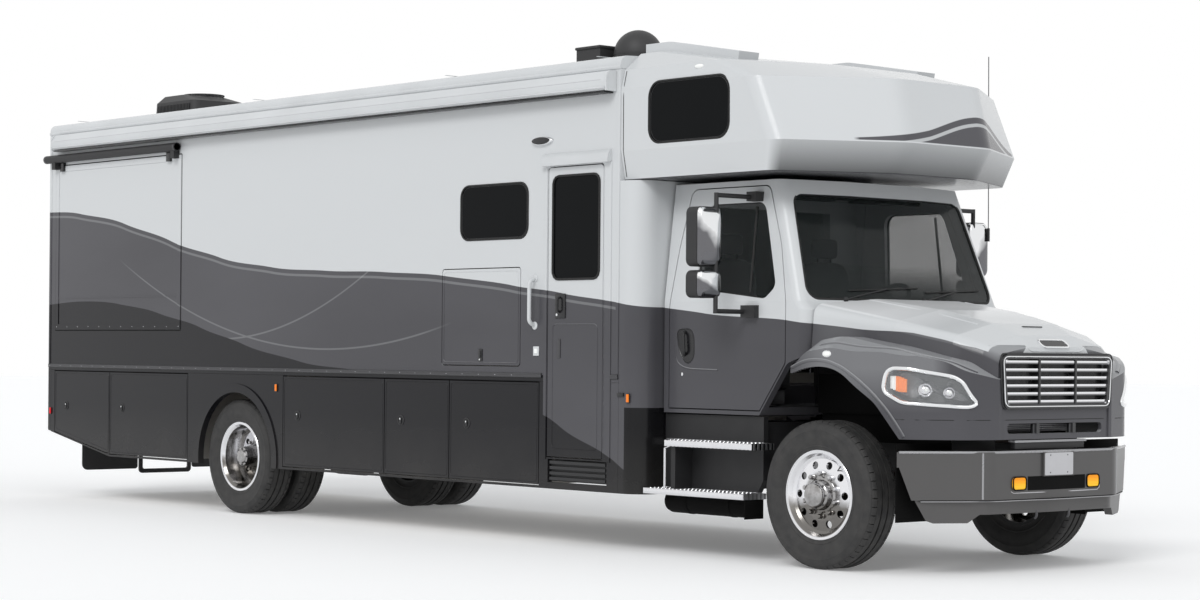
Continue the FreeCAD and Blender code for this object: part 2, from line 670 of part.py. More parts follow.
def make_mirrors(door):
    """Two heads on a tube loop, carried by mounts above and below the door window."""
    head_x, head_y, head_half = 3650, -1410, 112
    post_x, post_y, arm = head_x + 62, head_y + 60, 16
    top_z, low_z = 2522, 1725
    head_across = (head_y - head_half, head_y + head_half)
    pieces = [
        prism("mirror_head_main", "YZ",
              [rectangle(head_across, (2030, 2440), 50)], head_x - 55, head_x + 50),
        prism("mirror_head_wide", "YZ",
              [rectangle(head_across, (1815, 2005), 50)], head_x - 55, head_x + 50),
        rod("mirror_post", "Z", arm, (post_x, post_y, low_z - arm), top_z - low_z + arm * 2),
        rod("mirror_arm_top", "Y", arm, (post_x, post_y, top_z), 380),
        rod("mirror_arm_low", "Y", arm, (post_x, post_y, low_z), 320),
        box("mirror_clamp_main", (head_x + 40, post_x), (post_y - 20, post_y + 20), (2250, 2330)),
        box("mirror_clamp_wide", (head_x + 40, post_x), (post_y - 20, post_y + 20), (1880, 1940)),
        box("mirror_mount_top", (post_x - 30, post_x + 60), (-1030, -900), (2494, 2560)),
        box("mirror_mount_low", (post_x - 20, post_x + 110), (-1090, -1000), (1685, 1770)),
    ]
    right = cut("mirror_right", fuse("mirror_whole", *pieces), door)
    node("mirror_right", right)
    node("mirror_left", mirrored("mirror_left", right))


def make_cab_inside():
    """Dashboard, steering wheel with its column, and two seats."""
    dash = prism("dashboard", "XZ",
                 [[(3760, 1480, 40), (3790, 1790, 60), (4110, 1790, 20), (4110, 1480)]], -900, 900)
    node("dashboard", dash)
    ring = doc.addObject("Part::Torus", "wheel_ring")
    ring.Radius1, ring.Radius2 = 215, 16
    column_tilt = FreeCAD.Rotation(AXES["Y"], -42)
    ring.Placement = FreeCAD.Placement(V(3600, 480, 1800), column_tilt)
    hub = doc.addObject("Part::Cylinder", "wheel_hub")
    hub.Radius, hub.Height = 45, 40
    hub.Placement = FreeCAD.Placement(V(3612, 480, 1787), column_tilt)
    column = doc.addObject("Part::Cylinder", "wheel_column")
    column.Radius, column.Height = 30, 240
    column.Placement = FreeCAD.Placement(V(3772, 480, 1610), column_tilt)
    spoke = doc.addObject("Part::Box", "wheel_spoke")
    spoke.Length, spoke.Width, spoke.Height = 40, 410, 16
    spoke.Placement = FreeCAD.Placement(V(3592, 275, 1776), column_tilt)
    node("steering_wheel", cut("steering_wheel", fuse("wheel_parts", ring, hub, column, spoke), dash))
    seats = []
    for label, y in (("passenger", -500), ("driver", 500)):
        cushion = prism("seat_cushion_" + label, "XZ",
                        [rectangle((3000, 3480), (1400, 1540), 50)], y - 250, y + 250)
        back = prism("seat_back_" + label, "XZ",
                     [[(2958, 1440), (3110, 1440), (3020, 2120), (2948, 2120)]], y - 240, y + 240)
        head = prism("head_rest_" + label, "XZ",
                     [[(2945, 2090), (3015, 2090), (3010, 2310, 20), (2945, 2310, 20)]], y - 140, y + 140)
        base = box("seat_base_" + label, (3060, 3400), (y - 170, y + 170),
                   (Dims.cab_low + Dims.cab_thick, 1405))
        seats += [fuse("seat_" + label, cushion, back, head, base)]
    node("cab_seats", fuse("cab_seats", *seats))


# ---------------------------------------------------------------------------------- hood
def hood_section(low, foot, shoulder, shoulder_z, crown_z, inset=0):
    """Cross-section of the hood at one station; foot and shoulder are half widths."""
    foot, shoulder = size(foot) - inset, size(shoulder) - inset
    shoulder_z, crown_z = size(shoulder_z) - inset, size(crown_z) - inset
    return [
        (-foot, low), (foot, low), (shoulder, shoulder_z, 90), (shoulder * 0.45, crown_z, 240),
        (-shoulder * 0.45, crown_z, 240), (-shoulder, shoulder_z, 90),
    ]


HOOD_STATIONS = [
    # x, foot half width, shoulder half width, shoulder height, crown height
    (4240, 1035, 990, 1788, 1836),
    (4900, 1000, 850, 1655, 1745),
    (5300, 870, 720, 1565, 1652),
    (5480, 700, 640, 1495, 1572),
    (5565, 600, 590, 1445, 1497),
]


def hood_form(name, inset):
    """The hood's centre form, or the space under it."""
    stations = []
    for number, (x, foot, shoulder, shoulder_z, crown_z) in enumerate(HOOD_STATIONS):
        if inset and number == 0:
            x -= 1
        if inset and number == len(HOOD_STATIONS) - 1:
            x -= inset
        low = Dims.hood_low - (1 if inset else 0)
        stations.append((x, hood_section(low, foot, shoulder, shoulder_z, crown_z, inset)))
    return loft(name, "YZ", stations)


FENDER_LEVELS = [
    # offset from the centre line, then the fender's top edge there from the rear to the front: x, z, radius
    (-1205, (1330, 1450, 1480, 1430, 1330, 1150)),
    (-1060, (1400, 1530, 1562, 1490, 1395, 1250)),
    (-560, (1400, 1530, 1562, 1490, 1395, 1250)),
]
FENDER_X = ((4285, None), (4420, 150), (4640, 500), (5050, 600), (5420, 220), (5620, None))
LAMP_OUTLINE = [(5056, 1200, 60), (5086, 1354, 70), (5235, 1348, 200), (5480, 1293, 90), (5534, 1100, 26),
                (5190, 1128, 140)]


def fender_form(name, inset):
    """The right fender: its plan, with the corner wrapping to the grille, under its lofted top."""
    inset = size(inset)
    half, low = Dims.fender_half - inset, Dims.hood_low - (1 if inset.value else 0)
    rear, inner = Dims.hood_rear - (1 if inset.value else 0), -560
    plan = prism(name + "_plan", "XY", [[
        (rear, -half), (4850 - inset * 0.3, -half, 400), (5250 - inset * 0.6, -(1090 - inset), 350),
        (5500 - inset * 0.8, -(850 - inset * 0.8), 250), (5575 - inset, -590), (5575 - inset, inner),
        (rear, inner)]], low, 1700)
    sections = []
    for offset, tops in FENDER_LEVELS:
        top = [(x, z - inset) + ((radius,) if radius else ()) for (x, radius), z in zip(FENDER_X, tops)]
        top[0] = (rear - 5, tops[0] - inset)
        sections.append((offset, [(rear - 5, 800)] + top + [(5620, 800)]))
    return common(name, plan, loft(name + "_side", "XZ", sections))


def make_hood():
    """Tilting hood in one with the front fenders, its grille and its headlamps."""
    thick = Dims.hood_thick
    fender_outer, fender_inner = fender_form("fender_outer", 0), fender_form("fender_inner", thick)
    outer = fuse("hood_outer", hood_form("hood_top", 0), fender_outer,
                 mirrored("fender_outer_left", fender_outer))
    inner = fuse("hood_space", hood_form("hood_inside", thick.value), fender_inner,
                 mirrored("fender_inner_left", fender_inner))
    opening = prism("front_wheel_opening", "XZ", [[
        (4200, 800), (4200, Dims.arch_top - 54), (4480, Dims.arch_top + 27, 600),
        (4710, Dims.arch_top + 8, 400), (5000, 1125, 300), (5225, 825), (5225, 800)]], -1300, 1300)
    cowl = prism("cowl_clearance", "XY", [cab_plan(4000, Dims.cowl_front + 12, Dims.cowl_corner + 12,
                                                   Dims.cab_half + 8)], 700, 2000)
    grille_outline = [(-548, 1089, 40), (548, 1089, 40), (584, 1449, 60), (-584, 1449, 60)]
    grille_hole = prism("grille_opening", "YZ", [grille_outline], 5480, 5650)
    lamp_hole = prism("lamp_opening", "XZ", [LAMP_OUTLINE], -1300, -600)
    intake_hole = prism("intake_opening", "YZ", [rectangle((-495, 495), (927, 994), 25)], 5480, 5650)
    node("hood", cut("hood", outer, inner, opening, cowl, grille_hole, intake_hole, lamp_hole,
                     mirrored("lamp_opening_left", lamp_hole)))

    pitch, bar_thick, lowest = 52, 22, 1125
    bars = [box("grille_bar_%d" % number, (5532, 5580), (-545, 545),
                (lowest + number * pitch, lowest + number * pitch + bar_thick)) for number in range(6)]
    uprights = [box("grille_upright_%d" % number, (5540, 5566), (y - 8, y + 8), (1100, 1440))
                for number, y in enumerate((-190, 190), start=1)]
    surround = prism("grille_surround", "YZ",
                     [[(-546, 1091, 40), (546, 1091, 40), (582, 1447, 60), (-582, 1447, 60)],
                      [(-516, 1121, 20), (516, 1121, 20), (550, 1417, 40), (-550, 1417, 40)]], 5530, 5588)
    mesh = prism("grille_mesh", "YZ",
                 [[(-530, 1105, 20), (530, 1105, 20), (566, 1433, 40), (-566, 1433, 40)]], 5524, 5534)
    intake = [box("intake_post_%d" % number, (5530, 5572), (y - 14, y + 14), (927.5, 993.5))
              for number, y in enumerate((-190, 190), start=1)]
    link = [box("intake_link_%d" % number, (5524, 5532), (y - 14, y + 14), (960, 1110))
            for number, y in enumerate((-190, 190), start=1)]
    node("grille", fuse("grille", surround, mesh, *bars, *uprights, *intake, *link))

    lamp_skin = cut("lamp_skin", fender_form("lamp_outer", 2), fender_form("lamp_inner", 90))
    lamp_fit = prism("lamp_fit", "XZ", [LAMP_OUTLINE], -1300, -600)
    lamp = common("headlamp_right", lamp_skin, lamp_fit)
    node("headlamps", fuse("headlamps", lamp, mirrored("headlamp_left", lamp)))


# ---------------------------------------------------------------------------------- house
BAYS_RIGHT = [
    # name, rear edge, front edge
    ("1", -5470, -4455), ("2", -4445, -3105), ("3", -1600, -176), ("4", -166, 667), ("5", 677, 1750),
]
BAYS_LEFT = [("1", -5470, -3105), ("2", -1600, 500)]
SLIDES = {
    # side: (rear edge, front edge, foot, top, depth of the box)
    "right": (-5470, -3230, 1600, 3175, 690),
    "left": (-1900, 1700, 1420, 3175, 690),
}
ENTRY = (1850, 2460, 660, 2800)
HATCH = (577, 1524, 1329, 2066)
WINDOW = (800, 1610, 2290, 2708)
LEFT_WINDOWS = [(-5000, -4300, 2250, 2750), (-3300, -2500, 2250, 2750)]


def bay_outline(rear, front, grow):
    """Side outline of a bay door; the swept tail cuts the lower rear corner."""
    bend, low, high = Dims.tail_bend, Dims.bay_low - grow, Dims.bay_high + grow
    if rear > bend.value:
        return rectangle((rear - grow, front + grow), (low, high))
    tail_low = Dims.tail_low + 22
    rise = (tail_low - Dims.bay_low) / (bend - Dims.rear_end)
    rear_low = Dims.bay_low - grow + rise * (bend - (rear - grow))
    corners = [(rear - grow, rear_low), (bend, low), (front + grow, low),
               (front + grow, high), (rear - grow, high)]
    if front < bend.value:      # level for a hand's breadth at the hinge, so the door clears its sill
        level = low + rise * (bend - (front + grow) + 60)
        corners[1:3] = [(front + grow - 60, level), (front + grow, level)]
    return corners


def make_floor():
    """House floor with the stair well cut out, on the frame."""
    floor = prism("floor_plate", "XY", [[
        (Dims.rear_end + 55, -(Dims.half_width - Dims.wall_thick - 2)),
        (1840, -(Dims.half_width - Dims.wall_thick - 2)), (1840, -520), (2470, -520),
        (2470, -(Dims.half_width - Dims.wall_thick - 2)),
        (Dims.house_front - 10, -(Dims.half_width - Dims.wall_thick - 2)),
        (Dims.house_front - 10, -620), (Dims.front_wall_face - 60, -620), (Dims.front_wall_face - 60, 620),
        (Dims.house_front - 10, 620), (Dims.house_front - 10, Dims.half_width - Dims.wall_thick - 2),
        (Dims.rear_end + 55, Dims.half_width - Dims.wall_thick - 2),
    ]], Dims.floor_low, Dims.floor_top)
    bearers = [box("floor_bearer_%d" % number, (x, x + 60), (-480, 480), (Dims.rail_high, Dims.floor_low))
               for number, x in enumerate((-5200, -3900, -3000, -1700, -700, 400, 1500, 2560), start=1)]
    wells = [rod("wheel_housing_%s" % label, "Y", 545, (Dims.rear_axle, y, Dims.tyre_radius), 700)
             for label, y in (("right", -1290), ("left", 590))]
    stair = prism("entry_stair", "YZ", [[
        (-1215, 640), (-1215, 665), (-985, 665), (-985, 873), (-755, 873), (-755, 1081), (-545, 1081),
        (-545, Dims.floor_top), (-520, Dims.floor_top), (-520, 1040), (-732, 1040), (-732, 832),
        (-962, 832), (-962, 640),
    ]], 1856, 2454)
    node("house_floor", fuse("house_floor", cut("floor_cut", floor, *wells), stair, *bearers))


def make_side_walls():
    """Side walls with their windows, doors and slide-out openings cut."""
    low, high = Dims.floor_low + 2, Dims.eave
    rear, front = Dims.rear_end + 52, Dims.house_front - 2
    gap = Dims.door_gap.value
    slide = SLIDES["right"]
    entry_head = (ENTRY[3] + gap)
    outer = [(rear, low), (ENTRY[0] - gap, low), (ENTRY[0] - gap, entry_head, 30),
             (ENTRY[1] + gap, entry_head, 30), (ENTRY[1] + gap, low), (front, low), (front, high),
             (rear, high)]
    holes = [
        rectangle((slide[0] - gap, slide[1] + gap), (slide[2] - gap, slide[3] + gap), 12),
        rectangle((HATCH[0] - gap, HATCH[1] + gap), (HATCH[2] - gap, HATCH[3] + gap), 30),
        rectangle(WINDOW[:2], WINDOW[2:], 90),
    ]
    inner_y = -(Dims.half_width - Dims.wall_thick)
    node("right_wall", prism("right_wall", "XZ", [outer] + holes, -Dims.half_width, inner_y))
    slide = SLIDES["left"]
    holes = [rectangle((slide[0] - gap, slide[1] + gap), (slide[2] - gap, slide[3] + gap), 12)]
    holes += [rectangle(window[:2], window[2:], 90) for window in LEFT_WINDOWS]
    node("left_wall", prism("left_wall", "XZ", [rectangle((rear, front), (low, high))] + holes,
                            -inner_y, Dims.half_width))
    glass = [prism("house_window_right", "XZ", [rectangle(WINDOW[:2], WINDOW[2:], 90)],
                   -(Dims.half_width - 4), -(Dims.half_width - 14))]
    glass += [prism("house_window_left_%d" % number, "XZ", [rectangle(window[:2], window[2:], 90)],
                    Dims.half_width - 14, Dims.half_width - 4)
              for number, window in enumerate(LEFT_WINDOWS, start=1)]
    return glass


def make_roof():
    """Roof panel: a crowned outline less the hollow under it."""
    half = Dims.half_width
    outer = prism("roof_outer", "YZ", [[
        (-half, Dims.eave + 2), (half, Dims.eave + 2), (half, 3575, 60), (700, Dims.roof_top, 900),
        (-700, Dims.roof_top, 900), (-half, 3575, 60)]], Dims.rear_end, Dims.house_front - 2)
    inner = prism("roof_space", "YZ", [[
        (-(half - 90), Dims.eave - 10), (half - 90, Dims.eave - 10), (half - 90, 3510),
        (700, Dims.roof_top - 60), (-700, Dims.roof_top - 60), (-(half - 90), 3510)]],
        Dims.rear_end + 60, Dims.house_front)
    node("roof", cut("roof", outer, inner))


def make_rear():
    """Rear wall with its window and its tail lamps; the pane and the lamps are returned."""
    half, rear = Dims.half_width, Dims.rear_end
    window = rectangle((-500, 500), (2250, 2750), 90)
    wall = prism("rear_panel", "YZ", [
        [(-half, Dims.tail_low, 20), (half, Dims.tail_low, 20), (half, Dims.eave), (-half, Dims.eave)],
        window], rear, rear + Dims.wall_thick)
    lamps, recesses = [], []
    for number, y in enumerate((-1090, 1090), start=1):
        loops = [rectangle((y - 60, y + 60), (880, 1180), 25)]
        lamps.append(prism("tail_lamp_%d" % number, "YZ", loops, rear + 1, rear + 20))
        recesses.append(prism("tail_lamp_recess_%d" % number, "YZ", loops, rear - 10, rear + 20))
    node("rear_wall", cut("rear_wall", wall, *recesses))
    return prism("house_window_rear", "YZ", [window], rear + 4, rear + 14), lamps


def make_front_wall():
    """Front of the house beside the cab, with rounded corner posts and the way through to the cab."""
    half, thick = Dims.half_width, Dims.wall_thick
    face = Dims.front_wall_face
    post = prism("front_posts", "XY", [[
        (Dims.house_front, -half), (face, -half, 160), (face, -620), (face - thick, -620),
        (face - thick, -(half - thick), 110), (Dims.house_front, -(half - thick)),
    ]], Dims.skirt_low, 2672)
    left = mirrored("front_posts_left", post)
    header = box("front_header", (face - thick, face), (-622, 622), (2510, 2672))
    sill = box("front_sill", (face - thick, face), (-622, 622), (Dims.rail_high + 60, 1190))
    node("front_wall", fuse("front_wall", post, left, header, sill))


CAP_LEVELS = [
    # height, side half width, corner x, front x at the centre
    (2676, 1225, 4120, 4500),
    (2885, 1266, 4190, 4630),
    (3330, 1268, 3980, 4520),
    (3470, 1235, 3650, 3950),
    (3600, 1080, 2950, 3000),
]
CAP_WINDOW = (2928, 3747, 2922, 3360)


def cap_form(name, inset):
    """The cab-over cap's outer form, or the bunk space inside it."""
    levels = []
    for number, (z, half, corner, front) in enumerate(CAP_LEVELS):
        z = z + inset if number == 0 else z
        z = z - inset if number == len(CAP_LEVELS) - 1 else z
        half, corner, front = half - inset, corner - inset, front - inset
        rear = Dims.house_front - (1 if inset else 0)
        levels.append((z, [
            (rear, -half), (corner, -half, 150), (front, -420, 320), (front, 420, 320),
            (corner, half, 150), (rear, half)]))
    return loft(name, "XY", levels)


def make_cap():
    """Cab-over cap, hollow for the bunk, with a window each side and two raised ribs on top."""
    pane = rectangle(CAP_WINDOW[:2], CAP_WINDOW[2:], 110)
    windows = prism("cap_window_openings", "XZ", [pane], -1300, 1300)
    body = cap_form("cap_outer", 0)
    rib_side = prism("cap_rib_side", "XZ", [[
        (Dims.house_front, 3560), (Dims.house_front, 3672), (2900, 3672, 400), (3600, 3547), (3588, 3480),
        (3300, 3480)]], -1030, -835)
    ribs = [rib_side, mirrored("cap_rib_left", rib_side)]
    node("front_cap", cut("front_cap", fuse("cap_whole", body, *ribs), cap_form("cap_inner", 50), windows))
    return [prism("cap_window_%s" % label, "XZ", [pane], low, high)
            for label, low, high in (("right", -1258, -1248), ("left", 1248, 1258))]


def make_skirts():
    """Lower side panels with bay doors and wheel arches cut out."""
    gap = Dims.door_gap.value
    thick = Dims.door_thick
    half = Dims.half_width
    base = [(Dims.rear_end + 52, Dims.tail_low - 4), (Dims.tail_bend, Dims.skirt_low),
            (Dims.house_front - 2, Dims.skirt_low), (Dims.house_front - 2, Dims.floor_low),
            (Dims.rear_end + 52, Dims.floor_low)]
    for label, bays, low, high in (("right", BAYS_RIGHT, -half, -(half - thick)),
                                   ("left", BAYS_LEFT, half - thick, half)):
        panel = prism("skirt_panel_" + label, "XZ", [base], low, high)
        tools = [prism("bay_opening_%s_%s" % (label, name), "XZ", [bay_outline(rear, front, gap)],
                       low - 5, high + 5) for name, rear, front in bays]
        tools.append(rod("rear_wheel_opening_" + label, "Y", Dims.rear_arch_radius,
                         (Dims.rear_arch_x, low - 5, Dims.rear_arch_z), thick + 10))
        if label == "right":
            tools.append(box("entry_opening", (ENTRY[0] - gap, ENTRY[1] + gap), (low - 5, high + 5),
                             (ENTRY[2] - gap, Dims.floor_low + 10)))
            tools.append(box("entry_step_opening", (1859, 2516), (low - 5, high + 5), (468, 641)))
        panel = cut("skirt_cut_" + label, panel, *tools)
        lip_low = low - 12 if label == "right" else high - 1
        ring = rod("arch_ring_" + label, "Y", Dims.rear_arch_radius + 75,
                   (Dims.rear_arch_x, lip_low, Dims.rear_arch_z), 13)
        hole = rod("arch_hole_" + label, "Y", Dims.rear_arch_radius,
                   (Dims.rear_arch_x, lip_low - 1, Dims.rear_arch_z), 15)
        below = box("arch_below_" + label, (Dims.rear_arch_x - 700, Dims.rear_arch_x + 700),
                    (lip_low - 1, lip_low + 14), (-300, Dims.skirt_low))
        node("skirt_" + label, fuse("skirt_" + label, panel, cut("arch_lip_" + label, ring, hole, below)))
    liners = []
    for label, bays, side in (("right", BAYS_RIGHT, -1), ("left", BAYS_LEFT, 1)):
        for name, rear, front in bays:
            near, far = (half - thick - 2) * side, Dims.bay_depth * side
            low, high = (near, far) if side < 0 else (far, near)
            shell = prism("bay_liner_%s_%s" % (label, name), "XZ", [bay_outline(rear, front, -2)],
                          low, high)
            hollow_low = low if side < 0 else low + 15
            hollow_high = high - 15 if side < 0 else high
            hollow = prism("bay_hollow_%s_%s" % (label, name), "XZ", [bay_outline(rear, front, -17)],
                           hollow_low, hollow_high)
            liners.append(cut("bay_box_%s_%s" % (label, name), shell, hollow))
    galley = cut("galley_box", box("galley_shell", (570, 1531), (-(half - 52), -900), (1322, 2073)),
                 box("galley_hollow", (585, 1516), (-(half - 50), -915), (1337, 2058)))
    node("bay_liners", fuse("bay_liners", *liners, galley))


def make_doors():
    """Entry door with its glass, outdoor hatch and the bay doors."""
    half, thick = Dims.half_width, Dims.door_thick
    face, back = -half, -(half - thick)
    rear, front, low, high = ENTRY
    pane = [(1900, 1972, 60), (2420, 1972, 60), (2420, 2736, 60), (1900, 2736, 60)]
    node("entry_door", prism("entry_door", "XZ", [
        [(rear, low), (front, low), (front, high, 30), (rear, high, 30)], pane], face, back))
    node("entry_glass", prism("entry_glass", "XZ", [pane], face + 4, face + 14))
    rear, front, low, high = HATCH
    node("outdoor_hatch", prism("outdoor_hatch", "XZ", [rectangle((rear, front), (low, high), 25)],
                                face, back))
    for side, bays, low_y, high_y in (("right", BAYS_RIGHT, face, back),
                                      ("left", BAYS_LEFT, half - thick, half)):
        for name, rear, front in bays:
            label = "bay_door_%s_%s" % (side, name)
            node(label, prism(label, "XZ", [bay_outline(rear, front, 0)], low_y, high_y))


def make_slides():
    """Slide-out rooms: five-sided boxes, open towards the house."""
    half = Dims.half_width
    for label, side in (("right", -1), ("left", 1)):
        rear, front, low, high, depth = SLIDES[label]
        near, far = half * side, (half - depth) * side
        across = (near, far) if side < 0 else (far, near)
        shell = box("slide_shell_" + label, (rear, front), across, (low, high))
        wall = 45
        hollow_across = (near + wall, far + 1) if side < 0 else (far - 1, near - wall)
        hollow = box("slide_hollow_" + label, (rear + wall, front - wall), hollow_across,
                     (low + wall, high - wall))
        node("slide_" + label, cut("slide_" + label, shell, hollow))
    tube = rod("topper_tube", "X", 38, (-5590, -(half + 44), 3240), 2345)
    brackets = [box("topper_bracket_%d" % number, (x, x + 60), (-(half + 62), -(half + 0.5)), (3140, 3268))
                for number, x in enumerate((-5460, -3330), start=1)]
    node("slide_topper", fuse("slide_topper", tube, *brackets))


def make_outside_fittings():
    """Awning case, air conditioners, dome and the folded entry step."""
    half = Dims.half_width
    case = prism("awning_case", "YZ", [[
        (-(half + 0.5), 3318), (-(half + 0.5), 3468), (-(half + 60), 3468, 25), (-(half + 105), 3400, 30),
        (-(half + 95), 3325, 25)]], -5400, 2580)
    node("awning_case", case)
    roof = Dims.roof_top + 1
    cooler = loft("roof_cooler", "XY", [
        (roof, rectangle((-5290, -4540), (-320, 320), 80)),
        (3830, rectangle((-5280, -4560), (-310, 310), 80)),
        (3900, rectangle((-5240, -4820), (-240, 240), 70))])
    dome = doc.addObject("Part::Sphere", "dome_ball")
    dome.Radius = 195
    place(dome, x=1430, y=0, z=3782)
    below = box("dome_below", (1200, 1700), (-250, 250), (3500, 3700))
    foot = rod("dome_foot", "Z", 160, (1430, 0, roof), size(3710) - roof)
    vent = box("roof_vent", (940, 1222), (-220, 220), (roof, 3840))
    node("roof_units", fuse("roof_units", cooler, cut("dome_cut", dome, below), foot, vent))
    slats = [box("step_slat_%d" % number, (1880, 2500), (-(half - 2), -1180),
                 (486 + number * 40, 508 + number * 40)) for number in range(4)]
    frame = box("step_frame", (1866, 2509), (-1240, -930), (476, 633))
    node("entry_step", fuse("entry_step", frame, *slats))


def build():
    """Make every sub-part, check it and write it."""
    make_frame()
    make_hitch()
    make_front_axle()
    make_rear_axle()
    make_driveline()
    make_side_tanks()
    make_cab_steps()
    lamps = make_front_bumper()
    make_wheels()
    make_knuckles()
    make_mirrors(make_cab())
    make_cab_inside()
    make_hood()
    make_floor()
    glass = make_side_walls()
    pane, tail_lamps = make_rear()
    glass.append(pane)
    node("lamps", fuse("lamps", *lamps, *tail_lamps))
    make_roof()
    make_front_wall()
    glass += make_cap()
    node("house_windows", fuse("house_windows", *glass))
    make_skirts()
    make_doors()
    make_slides()
    make_outside_fittings()
    doc.recompute()

    failed = [thing.Name for thing in doc.Objects if "Invalid" in thing.State or "Error" in thing.State]
    for name, piece in NODES.items():
        if piece.Shape.isNull() or not piece.Shape.isValid() or not piece.Shape.Solids:
            failed.append(name)
    if failed:
        raise RuntimeError("failed: " + ", ".join(sorted(set(failed))))
    os.makedirs("parts", exist_ok=True)
    for name, piece in NODES.items():
        piece.Shape.exportStep("parts/%s.step" % name)
    print(len(NODES), "sub-parts written")


build()
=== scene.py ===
"""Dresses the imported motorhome: paint, trim, lamps, wheels, cab, house fittings, roof gear and a studio.

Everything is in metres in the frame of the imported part: +X forward, +Y to the vehicle's left, +Z up.
"""

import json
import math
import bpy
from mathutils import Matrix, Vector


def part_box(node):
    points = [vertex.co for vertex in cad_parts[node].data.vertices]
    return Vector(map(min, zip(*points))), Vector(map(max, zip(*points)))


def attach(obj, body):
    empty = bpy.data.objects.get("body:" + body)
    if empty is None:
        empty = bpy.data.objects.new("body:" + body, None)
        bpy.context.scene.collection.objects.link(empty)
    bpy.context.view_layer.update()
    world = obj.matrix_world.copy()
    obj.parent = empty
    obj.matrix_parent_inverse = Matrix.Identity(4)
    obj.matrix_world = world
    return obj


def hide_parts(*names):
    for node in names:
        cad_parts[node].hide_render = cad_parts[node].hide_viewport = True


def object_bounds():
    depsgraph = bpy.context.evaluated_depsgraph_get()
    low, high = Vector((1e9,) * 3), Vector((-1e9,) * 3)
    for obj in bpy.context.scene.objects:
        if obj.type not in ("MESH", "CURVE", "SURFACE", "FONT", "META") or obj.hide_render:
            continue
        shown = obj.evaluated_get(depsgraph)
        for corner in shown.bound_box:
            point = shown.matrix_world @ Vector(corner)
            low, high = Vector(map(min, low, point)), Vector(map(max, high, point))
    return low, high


bl_info = {
    "name": "Motorhome Dressing",
    "version": (1, 0, 0),
    "blender": (4, 5, 0),
    "location": "View3D > Sidebar > Motorhome",
    "description": "Finishes, trim and stage for the packed motorhome",
    "category": "Object",
}

import bmesh
import bpy
from bpy.props import FloatProperty, FloatVectorProperty, IntProperty, PointerProperty
from mathutils import Matrix, Vector
from mathutils.bvhtree import BVHTree

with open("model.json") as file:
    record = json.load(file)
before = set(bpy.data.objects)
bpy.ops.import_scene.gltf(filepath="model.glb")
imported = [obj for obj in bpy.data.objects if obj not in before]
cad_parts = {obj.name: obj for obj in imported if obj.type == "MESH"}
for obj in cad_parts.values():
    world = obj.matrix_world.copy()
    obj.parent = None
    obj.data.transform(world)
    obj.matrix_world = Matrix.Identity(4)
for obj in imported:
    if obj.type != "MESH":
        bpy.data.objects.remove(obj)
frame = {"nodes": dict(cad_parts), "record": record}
CAD_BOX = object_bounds()
PROUD_SHARE = 0.1  # how much is kept of what a fitting stands out past the CAD box, front and rear
NODES = frame["nodes"]
SLOT_OF = {part["node"]: part["material_slot"] for part in frame["record"]["subparts"]}
BODY_OF = {node: body for body, nodes in frame["record"]["behaviour"]["bodies"].items() for node in nodes}


# ------------------------------------------------------------------------------------ settings
def colour_setting(name, description, default):
    return FloatVectorProperty(name=name, description=description, subtype="COLOR", size=3, default=default,
                               min=0, max=1)


class MotorhomePaint(bpy.types.PropertyGroup):
    """Colours of the coach, as linear values."""

    white: colour_setting("White", "Gel coat of the upper body", (0.62, 0.635, 0.645))
    grey: colour_setting("Mid grey", "Middle band of the paint", (0.070, 0.069, 0.076))
    charcoal: colour_setting("Charcoal", "Lowest band of the paint", (0.0090, 0.0088, 0.0108))
    bumper: colour_setting("Bumper", "Metallic paint of the front bumper", (0.085, 0.083, 0.083))
    amber: colour_setting("Amber", "Side markers and turn lamps", (0.80, 0.20, 0.02))
    red: colour_setting("Red", "Rear markers and tail lamps", (0.62, 0.012, 0.02))


class MotorhomeSizes(bpy.types.PropertyGroup):
    """Sizes of the fittings."""

    belt_height: FloatProperty(
        name="Belt height", description="Foot of the belt moulding", default=1.241, min=0, unit="LENGTH")
    belt_depth: FloatProperty(
        name="Belt depth", description="Height of the belt moulding", default=0.034, min=0, unit="LENGTH")
    tread_blocks: IntProperty(
        name="Tread blocks", description="Shoulder blocks round each tyre", default=54, min=12)
    wheel_nuts: IntProperty(name="Wheel nuts", description="Nuts on each wheel", default=10, min=4)


class MotorhomeStage(bpy.types.PropertyGroup):
    """Camera and studio."""

    focal: FloatProperty(name="Focal length", description="Lens for a 36 mm wide sensor", default=75.675,
                         min=1, unit="CAMERA")
    station: FloatVectorProperty(name="Station", description="Where the camera stands", subtype="XYZ",
                                 size=3, unit="LENGTH", default=(16.1273, -13.4307, 1.4502))
    heading: FloatProperty(name="Heading", description="Turn about the vertical from looking along +Y",
                           default=math.radians(49.47), unit="ROTATION")
    roll: FloatProperty(name="Roll", description="Turn about the line of sight", default=math.radians(0.50),
                        unit="ROTATION")


def paint():
    return bpy.context.scene.motorhome_paint


def sizes():
    return bpy.context.scene.motorhome_sizes


def stage_settings():
    return bpy.context.scene.motorhome_stage


